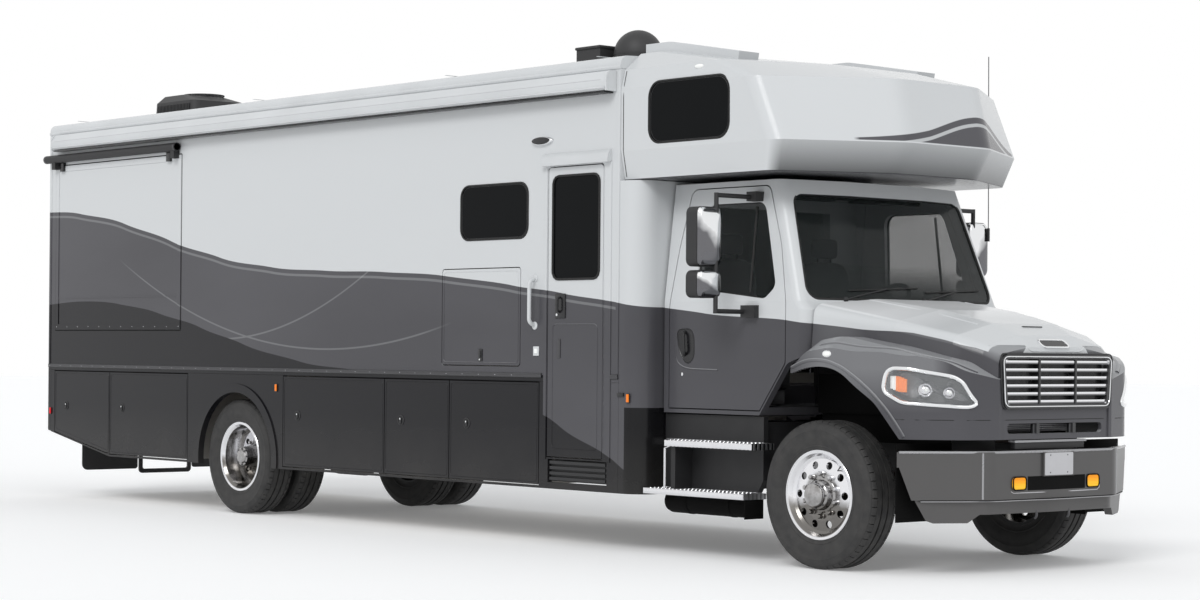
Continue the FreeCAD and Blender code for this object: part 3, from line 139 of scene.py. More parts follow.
# ------------------------------------------------------------------------------------ shader maths
class Sock:
    """A node output that takes part in Python arithmetic; each operator adds its Math node."""

    def __init__(self, finish, socket):
        self.finish, self.socket = finish, socket

    def _math(self, operation, first, second=None, clamp=False):
        settings = {"operation": operation, "use_clamp": clamp}
        values = {0: first} if second is None else {0: first, 1: second}
        return self.finish.add("ShaderNodeMath", settings, values)

    def __add__(self, other):
        return self._math("ADD", self, other)

    def __sub__(self, other):
        return self._math("SUBTRACT", self, other)

    def __mul__(self, other):
        return self._math("MULTIPLY", self, other)

    def __truediv__(self, other):
        return self._math("DIVIDE", self, other)

    def __radd__(self, other):
        return self._math("ADD", other, self)

    def __rsub__(self, other):
        return self._math("SUBTRACT", other, self)

    def __rmul__(self, other):
        return self._math("MULTIPLY", other, self)

    def __abs__(self):
        return self._math("ABSOLUTE", self)

    def sine(self):
        return self._math("SINE", self)

    def fraction(self):
        return self._math("FRACT", self)

    def power(self, other):
        return self._math("POWER", self, other)

    def clamped(self):
        return self._math("ADD", self, 0.0, clamp=True)

    def smaller(self, other):
        return self._math("MINIMUM", self, other)

    def larger(self, other):
        return self._math("MAXIMUM", self, other)


class NodeTree:
    """A node tree written with add() and Sock arithmetic."""

    def __init__(self, tree):
        self.tree = tree

    def add(self, kind, settings=None, values=None, output=0):
        """Add a node: its settings first, then the values or links of its sockets."""
        node = self.tree.nodes.new(kind)
        for key, value in (settings or {}).items():
            if key == "stops":
                ramp = node.color_ramp
                while len(ramp.elements) > 1:
                    ramp.elements.remove(ramp.elements[0])
                for index, (position, colour) in enumerate(value):
                    stop = ramp.elements[0] if index == 0 else ramp.elements.new(position)
                    stop.position, stop.color = position, colour
            elif key == "interpolation" and kind == "ShaderNodeValToRGB":
                node.color_ramp.interpolation = value
            else:
                setattr(node, key, value)
        for key, value in (values or {}).items():
            if isinstance(value, Sock):
                self.tree.links.new(value.socket, node.inputs[key])
            else:
                node.inputs[key].default_value = value
        return Sock(self, node.outputs[output]) if node.outputs else None


class Finish(NodeTree):
    """A material with one Principled shader."""

    def __init__(self, name, **fixed):
        self.material = bpy.data.materials.new(name)
        self.material.use_nodes = True
        super().__init__(self.material.node_tree)
        self.tree.nodes.clear()
        surface = self.add("ShaderNodeBsdfPrincipled")
        self.shader = surface.socket.node
        self.add("ShaderNodeOutputMaterial", values={"Surface": surface})
        self.place = None
        for label, value in fixed.items():
            self.set(label.replace("_", " "), value)

    def set(self, label, value):
        """Give the shader a value or a link."""
        socket = self.shader.inputs[label]
        if isinstance(value, Sock):
            self.tree.links.new(value.socket, socket)
        elif isinstance(value, tuple) and len(value) == 3:
            socket.default_value = value + (1.0,)
        else:
            socket.default_value = value

    def position(self):
        """The object's own coordinates, which are the part's frame."""
        if self.place is None:
            self.place = self.add("ShaderNodeTexCoord", output="Object")
        return self.place

    def axis(self, index):
        return self.add("ShaderNodeSeparateXYZ", values={0: self.position()}, output=index)

    def axes(self):
        return (self.axis(index) for index in range(3))

    def facing(self, index):
        """One part of the direction in which the surface faces."""
        normal = self.add("ShaderNodeNewGeometry", output="Normal")
        return self.add("ShaderNodeSeparateXYZ", values={0: normal}, output=index)

    def scaled(self, scale):
        """Object coordinates stretched along each axis."""
        return self.add("ShaderNodeVectorMath", {"operation": "MULTIPLY"}, {0: self.position(), 1: scale})

    def noise(self, scale, detail=3.0, stretch=None):
        where = self.scaled(stretch) if stretch else self.position()
        return self.add("ShaderNodeTexNoise", values={"Vector": where, "Scale": scale, "Detail": detail})

    def mix(self, factor, first, second):
        """Blend two colours."""
        return self.add("ShaderNodeMix", {"data_type": "RGBA"},
                        {"Factor": factor, 6: solid(first), 7: solid(second)}, output=2)

    def varied(self, factor, colour, low, high):
        """Blend between two shades of one colour."""
        return self.mix(factor, shade(colour, low), shade(colour, high))

    def ramp(self, factor, stops, interpolation="LINEAR"):
        return self.add("ShaderNodeValToRGB", {"interpolation": interpolation, "stops": stops},
                        {"Fac": factor})

    def bump(self, height, strength, distance=0.002):
        bumped = self.add("ShaderNodeBump", values={"Height": height, "Strength": strength,
                                                    "Distance": distance})
        self.set("Normal", bumped)


def solid(colour):
    """An RGB triple with its alpha; links and RGBA values pass through."""
    if isinstance(colour, Sock) or len(colour) == 4:
        return colour
    return tuple(colour) + (1.0,)


def shade(colour, factor):
    return tuple(channel * factor for channel in colour)


def grey_stop(position, value):
    return position, (value, value, value, 1.0)


# ------------------------------------------------------------------------------------ finishes
FRONT_AXLE, REAR_AXLE, AXLE_HEIGHT = 4.5, -2.36, 0.5
PAINT_REACH = (-5.7, 5.7)     # x over which the paint bands run
PAINT_TALL = 4.0              # height that a ramp value of 1 stands for
UPPER_BAND = [                # x, height of the white's lower edge
    (-5.7, 2.74), (-5.0, 2.70), (-4.2, 2.58), (-3.4, 2.40), (-2.6, 2.235), (-1.8, 2.135), (-1.0, 2.09),
    (-0.2, 2.065), (0.6, 2.02), (1.4, 1.94), (2.0, 1.87), (2.65, 1.79), (3.3, 1.715), (4.08, 1.668),
    (4.6, 1.612), (5.05, 1.580), (5.3, 1.522), (5.48, 1.470), (5.7, 1.40),
]
LOWER_BAND = [                # x, height of the charcoal's upper edge
    (-5.7, 1.84), (-5.0, 1.87), (-4.3, 1.84), (-3.6, 1.75), (-2.9, 1.62), (-2.2, 1.47), (-1.4, 1.34),
    (-0.7, 1.28), (0.0, 1.27), (0.7, 1.24), (1.4, 1.10), (2.0, 0.88), (2.65, 0.62), (3.4, 0.30), (5.7, 0.2),
]


def band_height(finish, x, table):
    """Height of a band's edge at x, along a smooth curve through the table."""
    low, high = PAINT_REACH
    along = (x - low) * (1 / (high - low))
    stops = [grey_stop((at - low) / (high - low), height / PAINT_TALL) for at, height in table]
    curve = finish.ramp(along, stops, "CARDINAL")
    return finish.add("ShaderNodeSeparateColor", values={0: curve}) * PAINT_TALL


def edge(value, softness=0.0025):
    """0 below zero and 1 above it, over a short soft step."""
    return (value * (1 / softness) + 0.5).clamped()


def coat(finish, roughness=0.22, coat_weight=0.6):
    """Clear coat with a faint orange peel and a little road film near the ground."""
    z = finish.axis(2)
    peel = finish.noise(140.0, 2.0)
    film = ((0.9 - z) * 0.9).clamped() * finish.noise(2.2, 4.0)
    finish.set("Roughness", roughness + film * 0.25 + peel * 0.02)
    finish.set("Coat Weight", coat_weight * 0.15)
    finish.set("Coat Roughness", 0.08)
    finish.set("Specular IOR Level", 0.18)
    finish.bump(peel, 0.04, 0.0006)
    return film


def body_paint():
    """Three-tone coach paint whose bands run on from panel to panel, with painted highlights on the bonnet,
    the fenders, the nose corners and upward-facing grey.
    """
    colours = paint()
    finish = Finish("coach_paint")
    x, y, z = finish.axes()
    upper = band_height(finish, x, UPPER_BAND)
    lower = band_height(finish, x, LOWER_BAND)
    # the nose keeps its grey corners either side of the white centre over the grille
    nose = edge(x - 5.50, 0.004) * edge(1.508 - z) * edge(abs(y) - 0.30 - (1.508 - z) * 0.8)
    in_grey = edge(upper - z).larger(nose)
    # painted highlight: the grey nose corners are painted a light grey that fades out towards the grille
    nose_highlight = nose * ((z - 1.455) * 22).clamped() * edge(0.62 - abs(y), 0.02)
    in_charcoal = edge(lower - z).larger(edge(1.262 - z) * edge(1.80 - x))
    sweep = finish.noise(0.9, 3.0, (0.35, 0.35, 1.0))
    grain = finish.noise(900.0, 1.0)
    rise = finish.facing(2)
    white = finish.mix(sweep * 0.5, tuple(colours.white), shade(colours.white, 0.95))
    # painted highlight: the upward-facing bonnet ahead of the windscreen is painted a brighter white
    bonnet_highlight = ((5.15 - x) * 2.2).clamped() * ((rise - 0.80) * 8).clamped()
    bonnet_highlight = bonnet_highlight * edge(x - 4.05, 0.1) * edge(1.86 - z, 0.02)
    white = finish.mix(bonnet_highlight, white, (0.88, 0.89, 0.90))
    grey = finish.varied(((sweep - 0.5) * 3 + 0.5).clamped(), colours.grey, 0.86, 1.14)
    flake = finish.mix(grain * 0.35, grey, shade(colours.grey, 1.55))
    # painted highlight: upward-facing grey and the upper flanks of the fenders are painted a lighter grey
    fender = edge(abs(y) - 0.95, 0.08) * ((z - 1.06) * 3.5).clamped() * edge(x - 4.42, 0.3) * 0.42
    flake = finish.mix((((rise - 0.16) * 2.0).clamped() * 0.9).larger(fender), flake, (0.33, 0.335, 0.345))
    dark = finish.varied(sweep, colours.charcoal, 0.85, 1.2)
    # a pale pinstripe that follows the upper edge, and two thin sweeps that cross the grey band
    stripe = edge(0.010 - abs(upper - z - 0.045)) * edge(2.60 - x)
    arc_a = edge(0.007 - abs(1.52 + (x + 2.6) * (x + 2.6) * 0.115 - z), 0.004)
    arc_b = edge(0.007 - abs(1.44 + (x + 1.0) * (x + 1.0) * 0.075 - z), 0.004)
    reach = edge(2.3 - abs(x + 1.8), 0.4) * edge(0 - y, 0.01)
    arcs = (arc_a + arc_b).clamped() * reach
    band = finish.mix((stripe * 0.35 + arcs * 0.30).clamped(), flake, shade(colours.white, 0.55))
    lowered = finish.mix(in_charcoal, band, dark)
    lowered = finish.mix(nose_highlight, lowered, (0.30, 0.31, 0.32))
    foot = edge(x - 2.70) * edge(2.875 - x) * edge(1.04 - z)
    body = finish.mix(foot, finish.mix(in_grey.larger(in_charcoal), white, lowered), (0.006, 0.006, 0.007))
    film = coat(finish)
    finish.set("Base Color", finish.mix(film * 0.35, body, (0.20, 0.19, 0.17)))
    return finish.material


def cap_paint():
    """White gel coat with one plain grey sweep on the front of the cap, and painted shade under its front.
    """
    colours = paint()
    finish = Finish("cap_gel_coat")
    x, y, z = finish.axes()
    along = (y + 0.75) * (1 / 1.9)
    curve = finish.ramp(along, [grey_stop(0.0, 0.0), grey_stop(0.3, 0.16), grey_stop(0.55, 0.62),
                                grey_stop(0.72, 0.42), grey_stop(0.85, 0.20), grey_stop(1.0, 0.0)],
                        "B_SPLINE")
    top = finish.add("ShaderNodeSeparateColor", values={0: curve}) * 0.40 + 2.900
    inside = edge(top - z, 0.004) * edge(z - 2.895, 0.004) * edge(x - 4.02, 0.02)
    inside = inside * edge(along, 0.02) * edge(1.0 - along, 0.02)
    cut_line = edge(0.012 - abs(top - 0.055 - z), 0.004)
    tint = finish.noise(0.8, 3.0)
    white = finish.mix(tint * 0.5, tuple(colours.white), shade(colours.white, 0.95))
    emblem = finish.mix(cut_line, shade(colours.grey, 1.25), shade(colours.white, 0.8))
    film = coat(finish)
    ahead, rise = finish.facing(0), finish.facing(2)
    # painted shade: forward-facing undersides of the cap are painted darker, most near the foot of the
    # front
    under = ((-0.06 - rise) * 4).clamped() * ((ahead - 0.2) * 2).clamped()
    white = finish.mix(under * (0.35 + ((2.885 - z) * 3.2).clamped()).smaller(1.0), white,
                       shade(colours.white, 0.20))
    body = finish.mix(edge(2.682 - z, 0.002), finish.mix(inside, white, emblem), shade(colours.grey, 0.6))
    finish.set("Base Color", finish.mix(film * 0.2, body, (0.4, 0.4, 0.38)))
    return finish.material


def plain_paint(name, colour, roughness=0.3, metallic=0.0, flake=0.0, coat_weight=0.5):
    """One colour of paint with slow variation and, for metallics, fine flake."""
    finish = Finish(name)
    slow = finish.noise(1.7, 4.0)
    fine = finish.noise(1100.0, 1.0)
    base = finish.varied(slow, colour, 0.90, 1.10)
    finish.set("Base Color", finish.mix(fine * flake, base, shade(colour, 1.9)))
    finish.set("Metallic", metallic)
    coat(finish, roughness, coat_weight)
    return finish.material


def satin_black(name, colour=(0.012, 0.012, 0.013), roughness=0.45, gloss=0.5):
    """Black enamel with patches of dust."""
    finish = Finish(name, Specular_IOR_Level=gloss)
    dust = (finish.noise(3.0, 5.0) - 0.35).clamped()
    finish.set("Base Color", finish.mix(dust, colour, shade(colour, 2.6)))
    finish.set("Roughness", roughness + dust * 0.3)
    finish.bump(finish.noise(60.0, 4.0), 0.15, 0.001)
    return finish.material


def grained_plastic(name, colour, roughness=0.55, grain=420.0):
    """Moulded plastic with a fine leather grain."""
    finish = Finish(name)
    cells = finish.add("ShaderNodeTexVoronoi", values={"Vector": finish.position(), "Scale": grain})
    wear = finish.noise(5.0, 4.0)
    finish.set("Base Color", finish.varied(wear, colour, 0.8, 1.35))
    finish.set("Roughness", roughness + wear * 0.12)
    finish.bump(cells, 0.25, 0.0006)
    return finish.material


def bright_metal(name, colour, roughness, brush=0.0, metallic=1.0):
    """Polished or brushed metal with faint smears."""
    finish = Finish(name, Metallic=metallic)
    smear = finish.noise(9.0, 4.0)
    finish.set("Base Color", finish.mix(smear, shade(colour, 0.86), colour))
    finish.set("Roughness", roughness + smear * 0.07)
    if brush:
        finish.bump(finish.noise(240.0, 2.0, (1.0, 14.0, 1.0)), brush, 0.0008)
    return finish.material


def wheel_alloy():
    """Polished alloy on the outer wheels, with a painted reflection of the darker ground over the lower
    half and darker towards the hub; black steel on the inner side, which also stands for the shade inside
    the wheels.
    """
    finish = Finish("wheel_alloy")
    x, y, z = finish.axes()
    reach = abs(x - edge(x - 1.0, 0.1) * (FRONT_AXLE - REAR_AXLE) - REAR_AXLE)
    far = (reach * reach + (z - AXLE_HEIGHT) * (z - AXLE_HEIGHT)).power(0.5)
    streak = finish.noise(5.0, 3.0)
    fine = finish.noise(26.0, 2.0)
    # painted reflection: the lower half is darker, as the darker ground would show in polished metal;
    # darker towards the hub as well
    low = ((AXLE_HEIGHT - z) * 12 + (streak - 0.5) * 3).clamped() * 0.88
    hub = edge(0.150 - far, 0.02) * (0.35 + fine * 0.55)
    ground_reflection_and_hub = low.larger(hub) * edge(0.284 - far, 0.01)
    bright = finish.mix(ground_reflection_and_hub.clamped(), (0.80, 0.80, 0.82), (0.11, 0.10, 0.085))
    outer = edge(abs(y) - 0.93, 0.02)
    finish.set("Base Color", finish.mix(outer, (0.012, 0.012, 0.013), bright))
    finish.set("Metallic", outer)
    finish.set("Roughness", 0.13 + fine * 0.10 + (1 - outer) * 0.4)
    return finish.material


def mirror_shell():
    """Bright shell of a mirror head, with painted reflections: the dark bands that a curved bright form
    carries.
    """
    finish = Finish("mirror_shell", Metallic=1.0)
    y, z = abs(finish.axis(1)), finish.axis(2)
    wave = finish.noise(7.0, 2.0)
    rise = ((z - 2.03) * (1 / 0.41)).larger((z - 1.815) * (1 / 0.19) * edge(2.015 - z))
    # painted reflection: dark bands across the shell, set by height
    band = ((0.62 - rise + (y - 1.41) * 2.2 + (wave - 0.5) * 0.5) * 5).clamped()
    finish.set("Base Color", finish.mix(band, (0.80, 0.81, 0.82), (0.16, 0.16, 0.17)))
    finish.set("Roughness", 0.10 + wave * 0.06)
    return finish.material


def grille_finish():
    """Bright bars, shaded along their lower edges, in a dark surround; dark posts below."""
    finish = Finish("grille_bars")
    y, z = finish.axis(1), finish.axis(2)
    smear = finish.noise(9.0, 4.0)
    half = 0.514 + (z - 1.121) * 0.115
    outside = edge(abs(y) - half).larger(edge(1.122 - z)).larger(edge(z - 1.411))
    shaded = edge(0.17 - ((z - 1.125) * (1 / 0.052)).fraction(), 0.08) * edge(half - 0.006 - abs(y))
    dark = outside.larger(shaded * 0.8)
    finish.set("Base Color", finish.mix(dark, (0.80, 0.80, 0.82), (0.030, 0.030, 0.032)))
    finish.set("Metallic", 1 - outside)
    finish.set("Roughness", 0.14 + smear * 0.08 + outside * 0.2)
    return finish.material


def cast_metal(name, colour, roughness=0.7):
    """Rough casting with a little rust."""
    finish = Finish(name, Metallic=0.5)
    patches = (finish.noise(11.0, 6.0) * 2.2 - 0.95).clamped()
    finish.set("Base Color", finish.mix(patches, colour, (0.085, 0.048, 0.028)))
    finish.set("Roughness", roughness + patches * 0.2)
    finish.bump(finish.noise(180.0, 4.0), 0.35, 0.0015)
    return finish.material


def tyre_rubber():
    """Black rubber, dustier in the tread and greyer on the sidewall."""
    finish = Finish("tyre_rubber")
    dust = finish.noise(14.0, 5.0)
    fine = finish.noise(420.0, 3.0)
    finish.set("Base Color", finish.mix((dust * 1.6 - 0.45).clamped(), (0.018, 0.018, 0.0185),
                                        (0.052, 0.050, 0.048)))
    finish.set("Roughness", 0.62 + dust * 0.2)
    finish.bump(fine, 0.25, 0.0008)
    return finish.material


def tinted_glass(name, colour, roughness=0.03, alpha=1.0, gloss=0.10, band=0.0):
    """Dark pane: a glossy tint, let through only as far as alpha allows, with a denser band at the foot as
    painted shade for the dim cab behind it.
    """
    finish = Finish(name, Roughness=roughness, IOR=1.5)
    haze = finish.noise(1.3, 3.0)
    finish.set("Base Color", finish.mix(haze, colour, shade(colour, 1.5)))
    finish.set("Roughness", roughness + haze * 0.03)
    # painted shade: the pane turns more opaque towards its foot, standing for the dim cab behind it
    finish.set("Alpha", alpha + ((2.06 - finish.axis(2)) * 4.5).clamped() * band if band else alpha)
    finish.set("Specular IOR Level", gloss)
    return finish.material


def clear_lens(name, colour, alpha):
    """Moulded lens with fine flutes."""
    finish = Finish(name, Roughness=0.04, IOR=1.49)
    depth = finish.noise(30.0, 2.0)
    finish.set("Base Color", finish.mix(depth, colour, shade(colour, 1.25)))
    finish.set("Alpha", alpha)
    finish.set("Coat Weight", 0.8)
    return finish.material


def lamp_glow(name, colour, strength):
    """Coloured lens with ribs painted as lighter and darker stripes, the lighter ones as painted
    highlights.
    """
    finish = Finish(name, Roughness=0.12)
    z, x = finish.axis(2), finish.axis(0)
    # painted highlights: the ribs are stripes of lighter and darker colour and glow, with no relief
    ribs = ((z * 900).sine() * 0.5 + 0.5) * 0.4 + ((x * 700).sine() * 0.5 + 0.5) * 0.3
    finish.set("Base Color", finish.varied(ribs, colour, 0.8, 1.15))
    finish.set("Emission Color", finish.mix(ribs, shade(colour, 0.7), colour))
    finish.set("Emission Strength", strength)
    finish.set("Specular IOR Level", 0.25)
    return finish.material


def coach_lamps():
    """Fog lamps at the front; red, amber and clear bands in the tail lamps."""
    finish = Finish("coach_lamp_lens", Roughness=0.15, Specular_IOR_Level=0.2)
    x, z = finish.axis(0), finish.axis(2)
    ribs = (z * 620).sine() * 0.5 + 0.5
    fog = finish.mix(((z - 0.585) * 25).clamped(), (0.90, 0.50, 0.02), (0.85, 0.30, 0.004))
    tail = finish.mix(edge(z - 0.975), (0.60, 0.60, 0.58), tuple(paint().amber))
    tail = finish.mix(edge(z - 1.055), tail, tuple(paint().red))
    lens = finish.mix(edge(x, 0.1), tail, fog)
    finish.set("Base Color", finish.mix(ribs * 0.4, lens, (0.25, 0.10, 0.02)))
    finish.set("Emission Color", lens)
    finish.set("Emission Strength", 0.35)
    return finish.material


def woven_cloth(name, colour, scale=650.0):
    """Two-way weave."""
    finish = Finish(name, Roughness=0.85, Sheen_Weight=0.3)
    x, y, z = finish.axes()
    weave = ((x + y) * scale).sine() * ((z + y) * scale).sine()
    tone = finish.noise(6.0, 4.0)
    finish.set("Base Color", finish.varied(tone, colour, 0.75, 1.3))
    finish.bump(weave * 0.5 + 0.5, 0.5, 0.0008)
    return finish.material


def inner_board(name, colour):
    """Painted board with a faint fibre pattern."""
    finish = Finish(name)
    fibre = finish.noise(22.0, 5.0, (1.0, 5.0, 1.0))
    finish.set("Base Color", finish.mix(fibre, shade(colour, 0.85), colour))
    finish.set("Roughness", 0.6 + fibre * 0.2)
    finish.bump(fibre, 0.2, 0.001)
    return finish.material


def perforated_alloy():
    """Tread plate of bright alloy with rows of dimples."""
    finish = Finish("tread_plate", Metallic=1.0)
    x, y = finish.axis(0), finish.axis(1)
    cell_x, cell_y = (x * 26).fraction() - 0.5, (y * 26).fraction() - 0.5
    far = (cell_x * cell_x + cell_y * cell_y).power(0.5)
    dimple = edge(0.27 - far, 0.08)
    smear = finish.noise(8.0, 4.0)
    z = finish.axis(2)
    tread = edge(0.024 - abs(z - 0.798), 0.001).larger(edge(0.022 - abs(z - 0.453), 0.001))
    alloy = finish.mix(dimple, (0.66, 0.66, 0.68), (0.05, 0.05, 0.052))
    finish.set("Base Color", finish.mix(tread, (0.012, 0.012, 0.013), alloy))
    finish.set("Metallic", tread)
    finish.set("Roughness", 0.30 + smear * 0.15 + (1 - tread) * 0.2)
    finish.bump((1 - dimple) * tread, 0.6, 0.003)
    return finish.material


FINISHES = {}


def finish_named(name):
    """A finish by its plain name, made once."""
    if name not in FINISHES:
        colours = paint()
        makers = {
            "coach": (body_paint,),
            "cap": (cap_paint,),
            "white": (plain_paint, "white_gel_coat", tuple(colours.white), 0.25),
            "charcoal": (plain_paint, "charcoal_paint", tuple(colours.charcoal), 0.25),
            "grey": (plain_paint, "grey_paint", tuple(colours.grey), 0.25, 0.3, 0.3),
            "bumper": (plain_paint, "bumper_metallic", tuple(colours.bumper), 0.32, 0.55, 0.5, 0.35),
            "frame_black": (satin_black, "frame_enamel"),
            "trim_black": (satin_black, "gloss_trim", (0.008, 0.008, 0.009), 0.2),
            "plastic": (grained_plastic, "black_plastic", (0.016, 0.016, 0.017)),
            "rubber": (grained_plastic, "door_rubber", (0.010, 0.010, 0.010), 0.7, 260.0),
            "dash": (grained_plastic, "dash_plastic", (0.024, 0.024, 0.026)),
            "roof_shroud": (grained_plastic, "roof_shroud", (0.022, 0.022, 0.023), 0.5, 200.0),
            "polished": (bright_metal, "polished_alloy", (0.80, 0.80, 0.82), 0.12),
            "chrome": (bright_metal, "chrome", (0.86, 0.87, 0.88), 0.06),
            "mirror_shell": (mirror_shell,),
            "wheel_alloy": (wheel_alloy,),
            "screen_glass": (tinted_glass, "screen_glass", (0.013, 0.016, 0.016), 0.02, 0.46, 0.14, 0.44),
            "pitch_black": (satin_black, "pitch_black", (0.002, 0.002, 0.002), 0.7, 0.1),
            # a lighter grey for painted highlights on the bumper
            "bumper_edge": (plain_paint, "bumper_edge", (0.34, 0.34, 0.35), 0.25, 0.5),
            "grille": (grille_finish,),
            "brushed": (bright_metal, "brushed_alloy", (0.55, 0.55, 0.57), 0.32, 0.3),
            "dark_metal": (bright_metal, "dark_metal", (0.10, 0.10, 0.105), 0.4),
            "cast": (cast_metal, "cast_iron", (0.032, 0.032, 0.033)),
            "tyre": (tyre_rubber,),
            "dark_glass": (tinted_glass, "dark_glass", (0.003, 0.0035, 0.004), 0.05, 1.0, 0.07),
            "cab_glass": (tinted_glass, "cab_glass", (0.016, 0.020, 0.020), 0.02, 0.26, 0.16),
            "mirror_glass": (bright_metal, "mirror_glass", (0.72, 0.76, 0.80), 0.02),
            "lens": (clear_lens, "lamp_lens", (0.80, 0.82, 0.84), 0.16),
            "amber": (lamp_glow, "amber_lens", tuple(colours.amber), 0.35),
            "coach_lamps": (coach_lamps,),
            "red": (lamp_glow, "red_lens", tuple(colours.red), 0.3),
            "lamp_white": (lamp_glow, "white_lens", (0.85, 0.86, 0.84), 0.25),
            "cloth": (woven_cloth, "seat_cloth", (0.055, 0.055, 0.060)),
            "topper_cloth": (woven_cloth, "topper_cloth", (0.012, 0.012, 0.013), 900.0),
            "board": (inner_board, "inner_board", (0.42, 0.40, 0.37)),
            "tread_plate": (perforated_alloy,),
        }
        maker, *given = makers[name]
        FINISHES[name] = maker(*given)
    return FINISHES[name]


NODE_FINISH = {
    # material slot: finish, for the nodes that keep their CAD form
    "shell_white": "coach", "paint_grey": "coach", "paint_charcoal": "coach", "bumper_grey": "bumper",
    "frame_black": "frame_black", "black_plastic": "plastic", "polished_alloy": "polished",
    "chrome": "chrome", "tyre": "tyre", "dark_glass": "dark_glass", "clear_glass": "cab_glass",
    "lamp_lens": "lens",
    "amber_lens": "coach_lamps", "seat_cloth": "cloth", "cast_iron": "cast", "inner_panel": "board",
}
NODE_OVERRIDE = {
    "windscreen": "screen_glass",
    "rim_front_right": "wheel_alloy", "rim_front_left": "wheel_alloy",
    "rims_rear_right": "wheel_alloy", "rims_rear_left": "wheel_alloy",
    "side_tanks": "frame_black", "grille": "grille", "mirror_right": "plastic", "mirror_left": "plastic",
    "front_cap": "cap", "dashboard": "dash", "roof_units": "roof_shroud", "cab_steps": "tread_plate",
    "awning_case": "white", "roof": "white",
}


class MOTORHOME_OT_finishes(bpy.types.Operator):
    """Give every CAD node its finish"""

    bl_idname = "motorhome.finishes"
    bl_label = "Finish the packed nodes"

    def execute(self, context):
        for name, thing in NODES.items():
            chosen = finish_named(NODE_OVERRIDE.get(name, NODE_FINISH[SLOT_OF[name]]))
            for slot in thing.material_slots:
                slot.material = chosen
        return {"FINISHED"}


# ------------------------------------------------------------------------------------ mesh forms
RIGHT, LEFT = -1, 1
NO_RADIUS = 1e-6      # below this a turned profile comes to a point
SIDES = ((RIGHT, "right"), (LEFT, "left"))


def arc_through(points, reach, steps=4, closed=False):
    """A path whose corners are rounded over a reach along each leg."""
    points = [Vector(point) for point in points]
    count, path = len(points), []
    for index, corner in enumerate(points):
        if not closed and index in (0, count - 1):
            path.append(corner)
            continue
        before, after = points[index - 1], points[(index + 1) % count]
        first = corner + (before - corner).normalized() * min(reach, (before - corner).length * 0.48)
        last = corner + (after - corner).normalized() * min(reach, (after - corner).length * 0.48)
        for step in range(steps + 1):
            t = step / steps
            path.append(first * (1 - t) ** 2 + corner * 2 * t * (1 - t) + last * t * t)
    return path


def rounded_rectangle(low, high, radius, steps=4):
    """Corners of a rectangle in a plane, rounded; pairs of (u, v)."""
    corners = [(low[0], low[1], 0), (high[0], low[1], 0), (high[0], high[1], 0), (low[0], high[1], 0)]
    return [(point.x, point.y) for point in arc_through(corners, radius, steps, True)]


def rectangle(x0, z0, x1, z1, inset=0.0):
    """Corners of a rectangle as (x, z), drawn in by an inset."""
    x0, z0, x1, z1 = x0 + inset, z0 + inset, x1 - inset, z1 - inset
    return [(x0, z0), (x1, z0), (x1, z1), (x0, z1)]


def upright(outline, y):
    """An outline of (x, z) stood up at y."""
    return [(x, y, z) for x, z in outline]


def facing_on(outline, x):
    """An outline of (y, z) stood up at x."""
    return [(x, y, z) for y, z in outline]


def in_plane(plane, u, v, level):
    """A point from two in-plane values and the plane's level."""
    return {"XY": Vector((u, v, level)), "XZ": Vector((u, level, v)), "YZ": Vector((level, u, v))}[plane]


def axes_about(axis):
    """A direction at unit length, and two more square to it."""
    axis = Vector(axis).normalized()
    first = axis.orthogonal().normalized()
    return axis, first, axis.cross(first)


